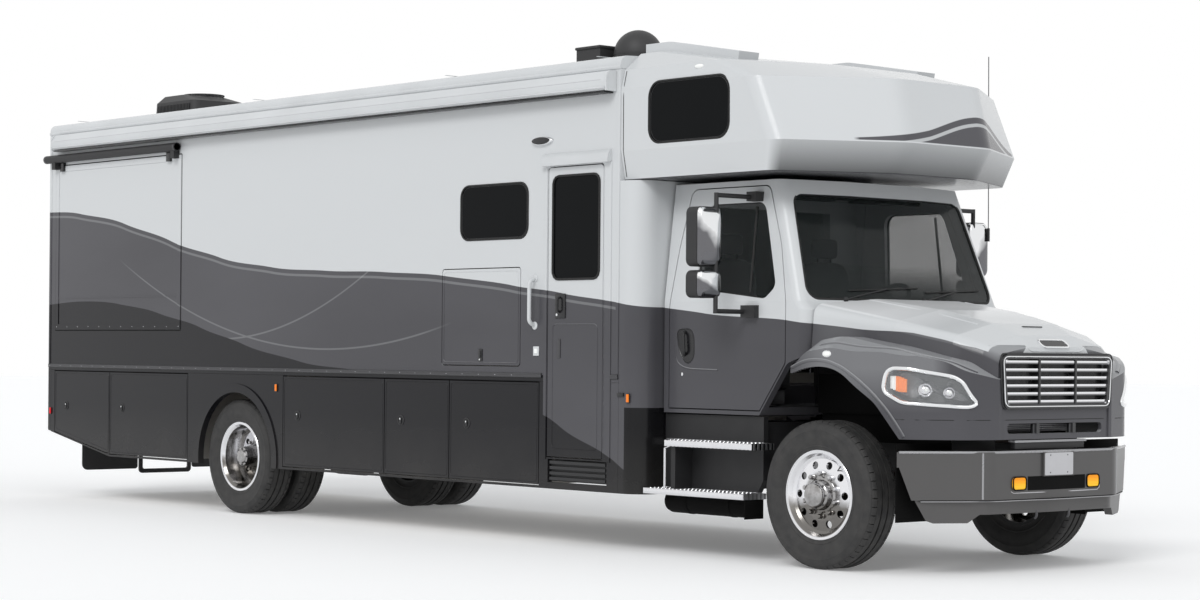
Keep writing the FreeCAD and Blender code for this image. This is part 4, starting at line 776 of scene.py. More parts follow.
class Shape:
    """Closed forms gathered into one mesh, each with one of the shape's finishes."""

    def __init__(self, name, *finishes):
        self.name, self.finishes = name, finishes
        self.form = bmesh.new()

    def _mark(self, faces, finish):
        for face in faces:
            face.material_index = finish

    def _ring_faces(self, rings, closed_along, closed_round):
        """Quads between successive rings of vertices."""
        faces, last = [], len(rings) if closed_along else len(rings) - 1
        for at in range(last):
            here, there = rings[at], rings[(at + 1) % len(rings)]
            span = len(here) if closed_round else len(here) - 1
            for turn in range(span):
                corner = (here[turn], here[(turn + 1) % len(here)], there[(turn + 1) % len(here)],
                          there[turn])
                unique = list(dict.fromkeys(corner))
                if len(unique) > 2:
                    faces.append(self.form.faces.new(unique))
        return faces

    def block(self, low, high, bevel=0.0, finish=0, turn=None, segments=2):
        """Box between two corners in any order, edges rounded, turned about its middle by a matrix."""
        low, high = (Vector(map(pick, low, high)) for pick in (min, max))
        made = bmesh.ops.create_cube(self.form, size=1.0)["verts"]
        spread, middle = high - low, (high + low) / 2
        for vert in made:
            vert.co = vert.co * spread
        faces = list(dict.fromkeys(face for vert in made for face in vert.link_faces))
        self._mark(faces, finish)
        if bevel:
            edges = list(dict.fromkeys(link for vert in made for link in vert.link_edges))
            extra = bmesh.ops.bevel(self.form, geom=edges, offset=bevel, segments=segments, affect="EDGES",
                                    profile=0.6)
            faces = [face for face in faces if face.is_valid] + list(extra["faces"])
        for vert in {vert for face in faces for vert in face.verts}:
            vert.co = (turn @ vert.co if turn else vert.co) + middle
        self._mark(faces, finish)
        return self

    def tube(self, path, radius, sides=10, finish=0, closed=False):
        """Round bar along a path."""
        path = [Vector(point) for point in path]
        count, rings = len(path), []
        across = None
        for index, point in enumerate(path):
            ahead = path[(index + 1) % count] if closed or index < count - 1 else point
            behind = path[index - 1] if closed or index else point
            along = (ahead - behind).normalized()
            if across is None:
                across = along.orthogonal().normalized()
                if abs(along.z) < 0.9:
                    across = along.cross(Vector((0, 0, 1))).normalized()
            across = (across - along * across.dot(along)).normalized()
            over = along.cross(across)
            rings.append([self.form.verts.new(point + across * math.cos(2 * math.pi * side / sides) * radius
                                              + over * math.sin(2 * math.pi * side / sides) * radius)
                          for side in range(sides)])
        faces = self._ring_faces(rings, closed, True)
        if not closed:
            faces += [self.form.faces.new(rings[0][::-1]), self.form.faces.new(rings[-1])]
        self._mark(faces, finish)
        return self

    def lathe(self, profile, centre, axis, segments=48, finish=0):
        """Turn (along, radius) pairs about an axis through a centre; both ends are closed."""
        axis, first, second = axes_about(axis)
        rings = []
        for along, radius in profile:
            middle = Vector(centre) + axis * along
            if radius < NO_RADIUS:
                rings.append([self.form.verts.new(middle)] * segments)
                continue
            angles = (2 * math.pi * step / segments for step in range(segments))
            rings.append([self.form.verts.new(
                middle + (first * math.cos(angle) + second * math.sin(angle)) * radius)
                for angle in angles])
        faces = self._ring_faces(rings, False, True)
        if profile[0] != profile[-1]:
            faces += [self.form.faces.new(rings[end]) for end in (0, -1) if profile[end][1] > NO_RADIUS]
        self._mark(faces, finish)
        return self

    def ring(self, section, centre, axis, segments=72, finish=0):
        """Turn a closed section about an axis."""
        axis, first, second = axes_about(axis)
        rings = []
        for step in range(segments):
            angle = 2 * math.pi * step / segments
            out = first * math.cos(angle) + second * math.sin(angle)
            rings.append([self.form.verts.new(Vector(centre) + axis * along + out * radius)
                          for along, radius in section])
        self._mark(self._ring_faces(rings, True, True), finish)
        return self

    def plate(self, plane, outline, low, high, bevel=0.0, finish=0, hole=None):
        """Flat outline between two levels of a plane, with an optional hole of as many corners."""
        loops = [[self.form.verts.new(in_plane(plane, u, v, level)) for u, v in outline]
                 for level in (low, high)]
        if hole:
            inner = [[self.form.verts.new(in_plane(plane, u, v, level)) for u, v in hole]
                     for level in (low, high)]
            faces = self._ring_faces([loops[0], loops[1], inner[1], inner[0]], True, True)
        else:
            faces = self._ring_faces(loops, False, True)
            faces += [self.form.faces.new(loops[0][::-1]), self.form.faces.new(loops[1])]
        self._mark(faces, finish)
        if bevel:
            rims = [link for face in faces for link in face.edges
                    if link.is_manifold and link.calc_face_angle(0) > 1.0]
            extra = bmesh.ops.bevel(self.form, geom=list(dict.fromkeys(rims)), offset=bevel, segments=2,
                                    affect="EDGES")
            self._mark(extra["faces"], finish)
        return self

    def sweep(self, rings, finish=0, closed=False):
        """Skin over rows of points, each row one closed section."""
        made = [[self.form.verts.new(Vector(point)) for point in ring] for ring in rings]
        faces = self._ring_faces(made, closed, True)
        if not closed:
            faces += [self.form.faces.new(made[0][::-1]), self.form.faces.new(made[-1])]
        self._mark(faces, finish)
        return self

    def ball(self, centre, radii, finish=0, detail=3):
        made = bmesh.ops.create_icosphere(self.form, subdivisions=detail, radius=1.0)["verts"]
        for vert in made:
            vert.co = Vector(centre) + vert.co * Vector(radii)
        self._mark({face for vert in made for face in vert.link_faces}, finish)
        return self

    def mesh(self, name, sharp):
        """The mesh, faces outward, then in a fixed order, since a bevel lists new faces in any order."""
        bmesh.ops.recalc_face_normals(self.form, faces=self.form.faces)
        self.form.verts.index_update()
        total = len(self.form.verts)

        def order(face):
            first, second, third = sorted(vert.index for vert in face.verts)[:3]
            return (first * total + second) * total + third

        self.form.faces.sort(key=order)
        mesh = bpy.data.meshes.new(name)
        self.form.to_mesh(mesh)
        self.form.free()
        mesh.shade_smooth()
        mesh.set_sharp_from_angle(angle=math.radians(sharp))
        return mesh

    def build(self, body, slot=None, sharp=38.0):
        """Make the object at the origin and hang it on its body."""
        for vert in self.form.verts:
            past = vert.co.x - min(max(vert.co.x, CAD_BOX[0][0]), CAD_BOX[1][0])
            vert.co.x -= past * (1 - PROUD_SHARE)
        mesh = self.mesh(self.name, sharp)
        for name in self.finishes:
            mesh.materials.append(finish_named(name))
        thing = bpy.data.objects.new(self.name, mesh)
        bpy.context.scene.collection.objects.link(thing)
        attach(thing, body)
        return thing


def skin_of(*names):
    """Ray target made of CAD nodes."""
    corners, faces = [], []
    for name in names:
        mesh = NODES[name].data
        start = len(corners)
        corners += [vert.co.copy() for vert in mesh.vertices]
        faces += [[start + index for index in face.vertices] for face in mesh.polygons]
    return BVHTree.FromPolygons(corners, faces)


def hit(skin, start, direction):
    """Where a ray meets a skin, with the normal there."""
    place, normal, _, _ = skin.ray_cast(Vector(start), Vector(direction).normalized())
    if place is None:
        raise RuntimeError("a ray from %s missed its surface" % (tuple(start),))
    return place, normal


def laid(skin, places, facing, lift=0.0):
    """Points thrown onto a skin against the way it faces, raised along its normal."""
    found = [hit(skin, Vector(place) + Vector(facing) * 1.5, -Vector(facing)) for place in places]
    return [place + normal * lift for place, normal in found]


def rim_loops(node, facing, limit=0.3):
    """Ordered corner loops round the faces of a node that look along a direction."""
    form = bmesh.new()
    form.from_mesh(NODES[node].data)
    bmesh.ops.remove_doubles(form, verts=form.verts, dist=1e-5)
    facing = Vector(facing).normalized()
    # a list keeps the order, so that every run starts its loops at the same corners
    chosen = [face for face in form.faces if face.normal.dot(facing) > limit]
    members = set(chosen)
    after = {}
    for face in chosen:
        for loop in face.loops:
            if sum(other in members for other in loop.edge.link_faces) == 1:
                after[loop.vert] = loop.link_loop_next.vert
    loops = []
    while after:
        start = next(iter(after))
        loop, here = [], start
        while here in after:
            loop.append(here.co.copy())
            here = after.pop(here)
        loops.append(loop)
    form.free()
    return loops


def evened(loop, spacing):
    """The loop walked at an even spacing."""
    total = sum((loop[index] - loop[index - 1]).length for index in range(len(loop)))
    count = max(8, int(total / spacing))
    walked, result, target = 0.0, [], 0.0
    for index in range(len(loop)):
        start, end = loop[index], loop[(index + 1) % len(loop)]
        length = (end - start).length
        while target <= walked + length and len(result) < count:
            result.append(start.lerp(end, (target - walked) / length if length else 0))
            target += total / count
        walked += length
    return result


# ------------------------------------------------------------------------------------ repeated pieces
class Copies(NodeTree):
    """Geometry Nodes tree that sets out copies of one form and makes them solid."""

    SOCKETS = {"Form": "NodeSocketObject", "Finish": "NodeSocketMaterial", "Start": "NodeSocketVector",
               "Step": "NodeSocketVector", "Row Step": "NodeSocketVector", "Per Row": "NodeSocketInt",
               "Count": "NodeSocketInt", "Centre": "NodeSocketVector", "Axis": "NodeSocketVector",
               "Arm": "NodeSocketVector"}

    def __init__(self, name, inputs):
        super().__init__(bpy.data.node_groups.new(name, "GeometryNodeTree"))
        face = self.tree.interface
        face.new_socket("Geometry", in_out="OUTPUT", socket_type="NodeSocketGeometry")
        for label in inputs:
            face.new_socket(label, in_out="INPUT", socket_type=self.SOCKETS[label])
        self.given = {label: self.add("NodeGroupInput", output=label) for label in inputs}
        self.index = self.add("GeometryNodeInputIndex")

    def vector(self, operation, first, second=None, scale=None):
        values = {0: first}
        if second is not None:
            values[1] = second
        if scale is not None:
            values["Scale"] = scale
        return self.add("ShaderNodeVectorMath", {"operation": operation}, values)

    def close(self, position, rotation=None):
        """Set the copies on their points and end the tree."""
        points = self.add("GeometryNodePoints", values={"Count": self.given["Count"], "Position": position})
        form = self.add("GeometryNodeObjectInfo", values={"Object": self.given["Form"]}, output="Geometry")
        values = {"Points": points, "Instance": form}
        if rotation is not None:
            values["Rotation"] = rotation
        copies = self.add("GeometryNodeInstanceOnPoints", values=values)
        whole = self.add("GeometryNodeRealizeInstances", values={"Geometry": copies})
        done = self.add("GeometryNodeSetMaterial", values={"Geometry": whole,
                                                           "Material": self.given["Finish"]})
        self.add("NodeGroupOutput", values={0: done})
        return self.tree


TREES = {}


def rows_tree():
    """Copies in rows: one step along the row and another from row to row."""
    if "rows" not in TREES:
        copies = Copies("rows", ("Form", "Finish", "Count", "Per Row", "Start", "Step", "Row Step"))
        given = copies.given
        row = copies.add("ShaderNodeMath", {"operation": "FLOOR"}, {0: copies.index / given["Per Row"]})
        column = copies.index - row * given["Per Row"]
        place = copies.vector("ADD", copies.vector("SCALE", given["Step"], scale=column),
                              copies.vector("SCALE", given["Row Step"], scale=row))
        TREES["rows"] = copies.close(copies.vector("ADD", given["Start"], place))
    return TREES["rows"]


def ring_tree():
    """Copies set round an axis, each turned with it."""
    if "ring" not in TREES:
        copies = Copies("ring", ("Form", "Finish", "Count", "Centre", "Axis", "Arm"))
        given = copies.given
        turn = copies.add("FunctionNodeAxisAngleToRotation", values={"Axis": given["Axis"],
                "Angle": copies.index * (2 * math.pi) / given["Count"]})
        arm = copies.add("FunctionNodeRotateVector", values={"Vector": given["Arm"], "Rotation": turn})
        TREES["ring"] = copies.close(copies.vector("ADD", given["Centre"], arm), turn)
    return TREES["ring"]


def solid_copies(name, tree, form, finish, body, slot=None, **inputs):
    """Run a tree once on a fresh object and keep the plain mesh that it makes."""
    seed = bpy.data.objects.new(name + "_form", form.mesh(name + "_form", 35))
    holder = bpy.data.objects.new(name, bpy.data.meshes.new(name + "_empty"))
    for thing in (seed, holder):
        bpy.context.scene.collection.objects.link(thing)
    modifier = holder.modifiers.new("copies", "NODES")
    modifier.node_group = tree
    values = {"Form": seed, "Finish": finish_named(finish)}
    values.update({key.replace("_", " "): value for key, value in inputs.items()})
    for item in tree.interface.items_tree:
        if item.in_out == "INPUT" and item.name in values:
            modifier[item.identifier] = values[item.name]
    bpy.context.view_layer.update()
    graph = bpy.context.evaluated_depsgraph_get()
    mesh = bpy.data.meshes.new_from_object(holder.evaluated_get(graph))
    if not mesh.polygons:
        raise RuntimeError("%s came out empty" % name)
    mesh.name = name
    holder.modifiers.clear()
    holder.data = mesh
    bpy.data.objects.remove(seed)
    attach(holder, body)
    return holder


# ------------------------------------------------------------------------------------ wheels
def wheel_sets():
    """(name, side, axle point at each tyre's middle) taken from the CAD wheels."""
    low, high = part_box("tyre_front_right")
    width, radius = high.y - low.y, (high.z - low.z) / 2
    sets = []
    for axle, tyre in (("front", "tyre_front"), ("rear", "tyres_rear")):
        for side, label in SIDES:
            low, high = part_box("%s_%s" % (tyre, label))
            outer = (high.y if side > 0 else -low.y) - width / 2
            inner = (low.y if side > 0 else -high.y) + width / 2
            middle = (low + high) / 2
            planes = [outer] if outer - inner < 0.1 else [outer, inner]
            sets.append(("%s_%s" % (axle, label), side, [Vector((middle.x, plane * side, middle.z))
                                                         for plane in planes], width / 2, radius))
    return sets


def tyre_section(half, radius):
    """Closed tyre section: beads, sidewalls with raised rings, shoulders and grooved crown."""
    side = [(half * 0.79, radius - 0.214), (half * 0.79, radius - 0.195), (half * 0.86, radius - 0.178),
            (half * 0.885, radius - 0.172), (half * 0.87, radius - 0.166), (half * 0.96, radius - 0.132),
            (half * 0.99, radius - 0.100), (half * 0.985, radius - 0.070), (half * 1.0, radius - 0.066),
            (half * 0.985, radius - 0.061), (half * 0.955, radius - 0.040), (half * 0.90, radius - 0.024),
            (half * 0.84, radius - 0.017)]
    crown = []
    for middle in (0.42, 0.0, -0.42):
        for across, drop in ((0.155, 0.014), (0.150, 0.0015), (-0.150, 0.0015), (-0.155, 0.014)):
            crown.append((half * (middle + across), radius - drop))
    other = [(-along, height) for along, height in reversed(side)]
    return side + crown + other


def make_tread(name, number, body, centre, half, radius):
    """Shoulder blocks on both edges of the tread."""
    blocks = Shape("blocks")
    for edge_side in (-1, 1):
        across = [(0.60, 0.0005), (0.60, 0.022), (0.84, 0.030), (0.84, 0.013), (0.78, 0.005)]
        section = [(edge_side * half * u, -drop) for u, drop in across]
        rings = [facing_on(section, x) for x in (-0.0255, 0.0255)]
        blocks.sweep(rings)
    solid_copies("tread_%s_%d" % (name, number), ring_tree(), blocks, "tyre", body, "tyre",
                 Count=sizes().tread_blocks, Centre=centre, Axis=(0, 1, 0), Arm=(0, 0, radius))


def make_hub(name, body, centre, side, half):
    """Hub cover, nut covers, valve and bright ring of each outer wheel."""
    out = Vector((0, side, 0))
    front = name.startswith("front")
    face = half - 0.062 if front else -half + 0.078
    cap = Shape("hub_cover_" + name, "wheel_alloy", "dark_metal", "polished")
    if front:
        cap.lathe([(face - 0.004, 0.126), (face + 0.004, 0.126), (face + 0.010, 0.120),
                   (face + 0.013, 0.104), (face + 0.052, 0.099), (face + 0.060, 0.094),
                   (face + 0.064, 0.085), (face + 0.088, 0.082), (face + 0.097, 0.076),
                   (face + 0.100, 0.040), (face + 0.104, 0.034), (face + 0.105, 0.0)], centre, out, 56)
    else:
        cap.lathe([(face - 0.004, 0.122), (face + 0.006, 0.120), (face + 0.012, 0.106),
                   (face + 0.085, 0.090), (face + 0.135, 0.082), (face + 0.148, 0.080),
                   (face + 0.150, 0.062), (face + 0.162, 0.056), (face + 0.166, 0.030),
                   (face + 0.167, 0.0)], centre, out, 56)
    well = centre + out * (face + 0.004) + Vector((0.168, 0, 0.168))
    cap.tube([well, well + out * 0.030, well + out * 0.034 + Vector((0.028, 0, 0.028))], 0.0042, 8,
             finish=1)
    cap.ring([(half * 0.80, 0.290), (half * 0.84, 0.292), (half * 0.845, 0.300), (half * 0.82, 0.3035),
              (half * 0.795, 0.301)], centre, out, 96, finish=2)
    cap.build(body, "chrome")
    nut = Shape("nut")
    nut.lathe([(0, 0.0215), (0.006, 0.0215), (0.010, 0.0175), (0.034, 0.0165), (0.041, 0.012), (0.043, 0.0)]
              if front else [(0, 0.019), (0.004, 0.019), (0.005, 0.016), (0.024, 0.016), (0.027, 0.009),
                             (0.030, 0.0)], (0, 0, 0), out, 12 if front else 6)
    solid_copies("nuts_" + name, ring_tree(), nut, "wheel_alloy", body, "chrome", Count=sizes().wheel_nuts,
                 Centre=centre + out * face, Axis=(0, 1, 0), Arm=(0.0, 0, 0.1425))
    bolt = Shape("bolt")
    bolt.lathe([(0, 0.0075), (0.007, 0.0075), (0.009, 0.005), (0.010, 0.0)], (0, 0, 0), out, 6)
    rise = 0.061 if front else 0.148
    solid_copies("hub_bolts_" + name, ring_tree(), bolt, "dark_metal", body, "chrome", Count=8,
                 Centre=centre + out * (face + rise), Axis=(0, 1, 0), Arm=(0, 0, 0.089 if front else 0.071))


class MOTORHOME_OT_wheels(bpy.types.Operator):
    """Make the treaded tyres, the hubs and the nuts"""

    bl_idname = "motorhome.wheels"
    bl_label = "Dress the wheels"

    def execute(self, context):
        for name, side, centres, half, radius in wheel_sets():
            body = ("wheel_" if name.startswith("front") else "wheels_") + name
            out = Vector((0, side, 0))
            rubber = Shape("tyre_carcass_" + name, "tyre")
            for centre in centres:
                rubber.ring(tyre_section(half, radius), centre, out, 96)
            carcass = rubber.build(body, "tyre")
            replaced = ("tyre_" if len(centres) == 1 else "tyres_") + name
            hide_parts(replaced)
            for number, centre in enumerate(centres, start=1):
                make_tread(name, number, body, centre, half, radius)
            make_hub(name, body, centres[0], side, half)
        return {"FINISHED"}


# ------------------------------------------------------------------------------------ front end
ARCH_LIP = [                  # x, z of the raised lip round the wheel opening
    (4.295, 1.345), (4.40, 1.388), (4.50, 1.402), (4.62, 1.394), (4.76, 1.350), (4.88, 1.278),
    (4.99, 1.184), (5.09, 1.076), (5.17, 0.965), (5.205, 0.905),
]
CREST = [                     # x, y of the crease along the top of the fender
    (4.31, 1.130), (4.60, 1.136), (4.85, 1.132), (5.05, 1.085), (5.22, 1.015), (5.36, 0.925),
    (5.46, 0.820), (5.51, 0.735),
]
SEAM = 1.018                  # height of the joint under the headlamps
AHEAD = (4.4, 0, 0)           # forward, and long enough for rays to start clear of the nose


def make_headlamp(side, label):
    """Bright ring, dark bowl, two barrels, bulbs and the amber section behind the lens."""
    loops = [loop for loop in rim_loops("headlamps", (0.55, side, 0.1), 0.56)
             if len(loop) > 6 and sum(point.y for point in loop) * side > 0]
    loops.sort(key=lambda loop: sum((loop[k] - loop[k - 1]).length for k in range(len(loop))))
    loop = evened(loops[-1], 0.022)
    middle = sum(loop, Vector()) / len(loop)
    inward = Vector((-0.42, -side * 0.9, 0))
    trim = Shape("headlamp_trim_" + label, "chrome", "trim_black", "amber", "lamp_white", "polished")
    trim.tube([point - inward * 0.001 for point in loop], 0.0145, 10, closed=True)
    walls = [(0.036, 0.975), (0.080, 0.86), (0.084, 0.70), (0.084, 0.30), (0.089, 0.30), (0.090, 0.72),
             (0.086, 0.90), (0.036, 0.992)]
    trim.sweep([[middle + (point - middle) * grow + inward * depth for point in loop]
                for depth, grow in walls], 1, True)
    cap = [middle + (point - middle) * 0.31 + inward * 0.0835 for point in loop]
    trim.sweep([cap, [point + inward * 0.006 for point in cap]], 1)
    ahead = Vector((0.80, side * 0.58, 0.03)).normalized()
    for at, radius in ((0.52, 0.038), (0.76, 0.032)):
        place = point_inside(loop, at, 0.42) + inward * 0.062
        trim.lathe([(-0.02, radius * 1.25), (0.012, radius * 1.25), (0.016, radius * 1.12),
                    (0.010, radius * 1.02), (0.010, radius), (0.022, radius * 0.8), (0.028, radius * 0.4),
                    (0.030, 0.0)], place, ahead, 32, 4)
        trim.ball(place + ahead * 0.031, (0.011, 0.011, 0.011), 3, 2)
    low, high = point_inside(loop, 0.10, 0.5), point_inside(loop, 0.30, 0.5)
    for number in range(6):
        foot = low + (high - low) / 5 * number + inward * 0.046
        tall = 0.034 + 0.016 * math.sin(0.5 + number * 0.4)
        trim.block(foot - Vector((0.011, 0.006, tall)), foot + Vector((0.011, 0.006, tall)), 0.004,
                   3 if number < 2 else 2)
    trim.build("hood", "chrome")


def point_inside(loop, along, up):
    """A point inside a loop by shares of its length in x and its height there."""
    lows, highs = min(point.x for point in loop), max(point.x for point in loop)
    x = lows + (highs - lows) * along
    near = sorted(loop, key=lambda point: abs(point.x - x))[:6]
    foot, head = min(point.z for point in near), max(point.z for point in near)
    return Vector((x, sum(point.y for point in near) / len(near), foot + (head - foot) * up))


def make_fender(side, label):
    """Raised lip round the wheel opening, crease along the top and the joint under the headlamp."""
    skin = skin_of("hood")
    form = Shape("fender_form_" + label, "coach", "rubber", "lamp_white", "chrome")
    lip = arc_through(upright(ARCH_LIP, 0), 0.05, 3)
    form.tube(laid(skin, lip, (0, side, 0), -0.003), 0.013, 10)
    crest = arc_through([(x, y * side, 1.0) for x, y in CREST], 0.08, 4)
    form.tube(laid(skin, crest, (0, 0, 1), -0.006), 0.017, 12)
    joint = laid(skin, [(x, 0, SEAM) for x in (5.13, 5.20, 5.28, 5.36)], (0, side, 0), -0.001)
    joint += laid(skin, [(0, y * side, SEAM) for y in (0.90, 0.82, 0.74, 0.66, 0.5, 0.25, 0.0)],
                  AHEAD, -0.001)
    form.tube(joint, 0.0028, 6, 1)
    spot, normal = hit(skin, (4.617, 1.6 * side, 1.440), (0, -side, 0))
    form.ball(spot + normal * 0.003, (0.034, 0.012, 0.018), 2, 3)
    form.tube([spot + normal * 0.001 + Vector((math.cos(a) * 0.037, 0, math.sin(a) * 0.021))
               for a in [k * math.pi / 12 for k in range(24)]], 0.003, 6, 3, True)
    form.build("hood", "paint_grey")


def make_grille():
    screen = Shape("grille_screen", "trim_black")
    screen.plate("YZ", rounded_rectangle((-0.528, 1.118), (0.528, 1.42), 0.03), 5.5345, 5.5365)
    for y in (-0.19, 0.19):
        screen.block((5.534, y - 0.011, 1.112), (5.5845, y + 0.011, 1.424), 0.002)
    screen.build("hood", "black_plastic")
    wire = Shape("wire")
    wire.block((-0.001, -0.0012, -0.150), (0.001, 0.0012, 0.150), 0)
    solid_copies("grille_wires", rows_tree(), wire, "trim_black", "hood", "chrome", Count=88, Per_Row=88,
                 Start=(5.5375, -0.522, 1.269), Step=(0, 0.012, 0))
    lip = Shape("grille_lip", "chrome", "trim_black")
    frame_line = [(5.590, -0.545, 1.106), (5.590, 0.545, 1.106), (5.590, 0.569, 1.432),
                  (5.590, -0.569, 1.432)]
    lip.tube(arc_through(frame_line, 0.05, 5, True), 0.0042, 8, closed=True)
    gap = [(5.5795, -0.562, 1.090), (5.5795, 0.562, 1.090), (5.5795, 0.590, 1.452), (5.5795, -0.590, 1.452)]
    lip.tube(arc_through(gap, 0.05, 5, True), 0.006, 8, 1, True)
    lip.build("hood", "chrome")


def make_bumper():
    """Rolled upper edge, creases, black recess between the lamps, blank plate, step plate and hooks; the
    edge, the creases, a line under the fold and one strip are in a lighter grey as painted highlights.
    """
    skin = skin_of("front_bumper")
    gear = Shape("bumper_fittings", "pitch_black", "brushed", "dark_metal", "bumper_edge", "plastic")
    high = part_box("front_bumper")[1].z
    flank = laid(skin, [(x, 0, high - 0.008) for x in (5.245, 5.32, 5.40, 5.48)], (0, RIGHT, 0))
    nose = laid(skin, [(0, y * 0.12, high - 0.008) for y in range(-5, 6)], AHEAD)
    rim = flank + nose + [Vector((point.x, -point.y, point.z)) for point in reversed(flank)]
    # painted highlight: the rolled rim and the line under the fold are in a lighter grey
    gear.tube([point + Vector((-0.002, 0, 0.006)) for point in rim], 0.0095, 8, 3)
    fold = [Vector((point.x, point.y, 0.497)) for point in rim[1:-1]]
    gear.tube(fold, 0.0035, 6)
    gear.tube([point - Vector((0, 0, 0.006)) for point in fold], 0.0035, 6, 3)
    for side in (RIGHT, LEFT):
        # painted highlight: the crease is in a lighter grey
        crease = laid(skin, [(0, 0.700 * side, z) for z in (0.805, 0.70, 0.60, 0.505)], AHEAD, -0.003)
        gear.tube(crease, 0.008, 8, 3)
        lamp = [(point[0] + 0.385 * side, point[1] + 0.6025)
                for point in rounded_rectangle((-0.066, -0.0425), (0.066, 0.0425), 0.028)]
        gear.tube(facing_on(lamp, 5.5835), 0.0045, 8, closed=True)
        gear.block((5.196, 0.62 * side, 0.352), (5.202, 1.165 * side, 0.86), 0.002, 0)
        gear.block((5.200, 0.62 * side, 0.352), (5.34, 0.626 * side, 0.80), 0.002, 0)
        hook = [(5.50, 0.17 * side, 0.43), (5.545, 0.17 * side, 0.43), (5.552, 0.17 * side, 0.385),
                (5.535, 0.17 * side, 0.365)]
        gear.tube(arc_through(hook, 0.02), 0.009, 8, 2)
        gear.block((5.535, 0.19 * side - 0.035, 0.905), (5.560, 0.19 * side + 0.035, 0.990), 0.006, 2)
    # black recess between the lamps, its bright lower rim and the blank plate
    lower = laid(skin, [(0, -0.300 + 0.06 * k, 0.555) for k in range(11)], AHEAD, 0.0015)
    upper = [point + Vector((0, 0, 0.092)) for point in reversed(lower)]
    gear.sweep([[point - Vector((0.003, 0, 0)) for point in lower + upper], lower + upper], 0)
    rim = [(-0.465, 0.552), (-0.44, 0.541), (-0.2, 0.540), (0.2, 0.540), (0.44, 0.541), (0.462, 0.556),
           (0.468, 0.60)]
    gear.tube(laid(skin, facing_on(rim, 0), AHEAD), 0.0035, 6, 1)
    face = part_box("front_bumper")[1].x
    gear.plate("YZ", rounded_rectangle((-0.148, 0.651), (0.148, 0.799), 0.010), face, face + 0.002, 0, 1)
    for y in (-0.09, 0.09):
        for z in (0.668, 0.783):
            gear.lathe([(0, 0.0055), (0.002, 0.0055), (0.0035, 0.003), (0.004, 0)], (face + 0.001, y, z),
                       (1, 0, 0), 10, 2)
    # painted light: this strip is a lighter grey where it sits in shade
    gear.block((5.500, -0.405, 0.868), (5.556, 0.345, 0.884), 0.003, 3)
    gear.block((5.512, -0.395, 0.826), (5.548, 0.330, 0.870), 0.003, 4)
    gear.build("coach", "black_plastic")


def make_hood_trim():
    skin = skin_of("hood")
    trim = Shape("hood_trim", "chrome", "trim_black", "coach")
    # blank badge and its bezel on the nose
    place, normal = hit(skin, (5.9, 0, 1.517), (-1, 0, 0))
    ring = rounded_rectangle((-0.140, -0.036), (0.140, 0.036), 0.035, 6)
    up = (Vector((0, 0, 1)) - normal * normal.z).normalized()
    face = [place + Vector((0, u, 0)) + up * v + normal * 0.004 for u, v in ring]
    trim.sweep([[point - normal * 0.008 for point in face], face], 1)
    trim.tube(face, 0.0065, 8, closed=True)
    # step in the nose over the grille, dropped at its middle
    brow = [(-0.59, 1.502), (-0.31, 1.505), (-0.265, 1.468), (0.265, 1.468), (0.31, 1.505), (0.59, 1.502)]
    brow = arc_through(facing_on(brow, 0), 0.03, 3)
    trim.tube(laid(skin, brow, AHEAD, -0.001), 0.005, 8, 2)
    slot, normal = hit(skin, (5.345, 0.02, 2.4), (0, 0, -1))
    trim.block(slot + Vector((-0.010, -0.100, -0.003)), slot + Vector((0.010, 0.100, 0.0045)), 0.002, 1)
    for side in (RIGHT, LEFT):
        bulge = [(4.36, 0.50), (4.7, 0.49), (5.0, 0.46), (5.25, 0.42)]
        trim.tube(laid(skin, [(x, y * side, 1.2) for x, y in bulge], (0, 0, 1), -0.006), 0.010, 8, 2)
    trim.build("hood", "chrome")


class MOTORHOME_OT_front(bpy.types.Operator):
    """Make the lamps' insides, the grille's screen and trim, the bumper's fittings and the blank plates"""

    bl_idname = "motorhome.front"
    bl_label = "Dress the front end"

    def execute(self, context):
        for side, label in SIDES:
            make_headlamp(side, label)
            make_fender(side, label)
        make_grille()
        make_bumper()
        make_hood_trim()
        return {"FINISHED"}


# ------------------------------------------------------------------------------------ cab
def cushion(name, low, high, crown, seams, finish="cloth"):
    """Stuffed form: a soft box with crowned faces and stitched lines."""
    low, high = Vector(low), Vector(high)
    middle, half = (low + high) / 2, (high - low) / 2
    shape = Shape(name, finish)
    bmesh.ops.create_cube(shape.form, size=2.0)
    bmesh.ops.subdivide_edges(shape.form, edges=shape.form.edges[:], cuts=11, use_grid_fill=True)
    power = 5.0
    for vert in shape.form.verts:
        u, v, w = vert.co
        reach = (abs(u) ** power + abs(v) ** power + abs(w) ** power) ** (1 / power)
        u, v, w = u / reach, v / reach, w / reach
        lift = [1.0, 1.0, 1.0]
        thin = min(range(3), key=lambda axis: half[axis])
        others = [axis for axis in range(3) if axis != thin]
        spot = (u, v, w)
        dome = math.cos(spot[others[0]] * math.pi / 2) * math.cos(spot[others[1]] * math.pi / 2)
        dent = sum(math.exp(-((spot[axis] - at) / 0.05) ** 2) for axis, at in seams) * 0.16
        lift[thin] = 1 + crown * max(dome, 0.0) - dent
        scale = 1 / (1 + crown)
        place = [spot[axis] * half[axis] * (lift[axis] * scale if axis == thin else 1.0)
                 for axis in range(3)]
        vert.co = middle + Vector(place)
    return shape


def make_gaskets():
    for node, facing, radius, body in (
            ("windscreen", (1, 0, 0.4), 0.011, "coach"),
            ("door_glass_right", (0, -1, 0), 0.008, "door_right"),
            ("door_glass_left", (0, 1, 0), 0.008, "door_left")):
        gasket = Shape(node + "_gasket", "rubber")
        loops = rim_loops(node, facing)
        loops.sort(key=len)
        gasket.tube(evened(loops[-1], 0.02), radius, 8, closed=True)
        gasket.build(body, "black_plastic")


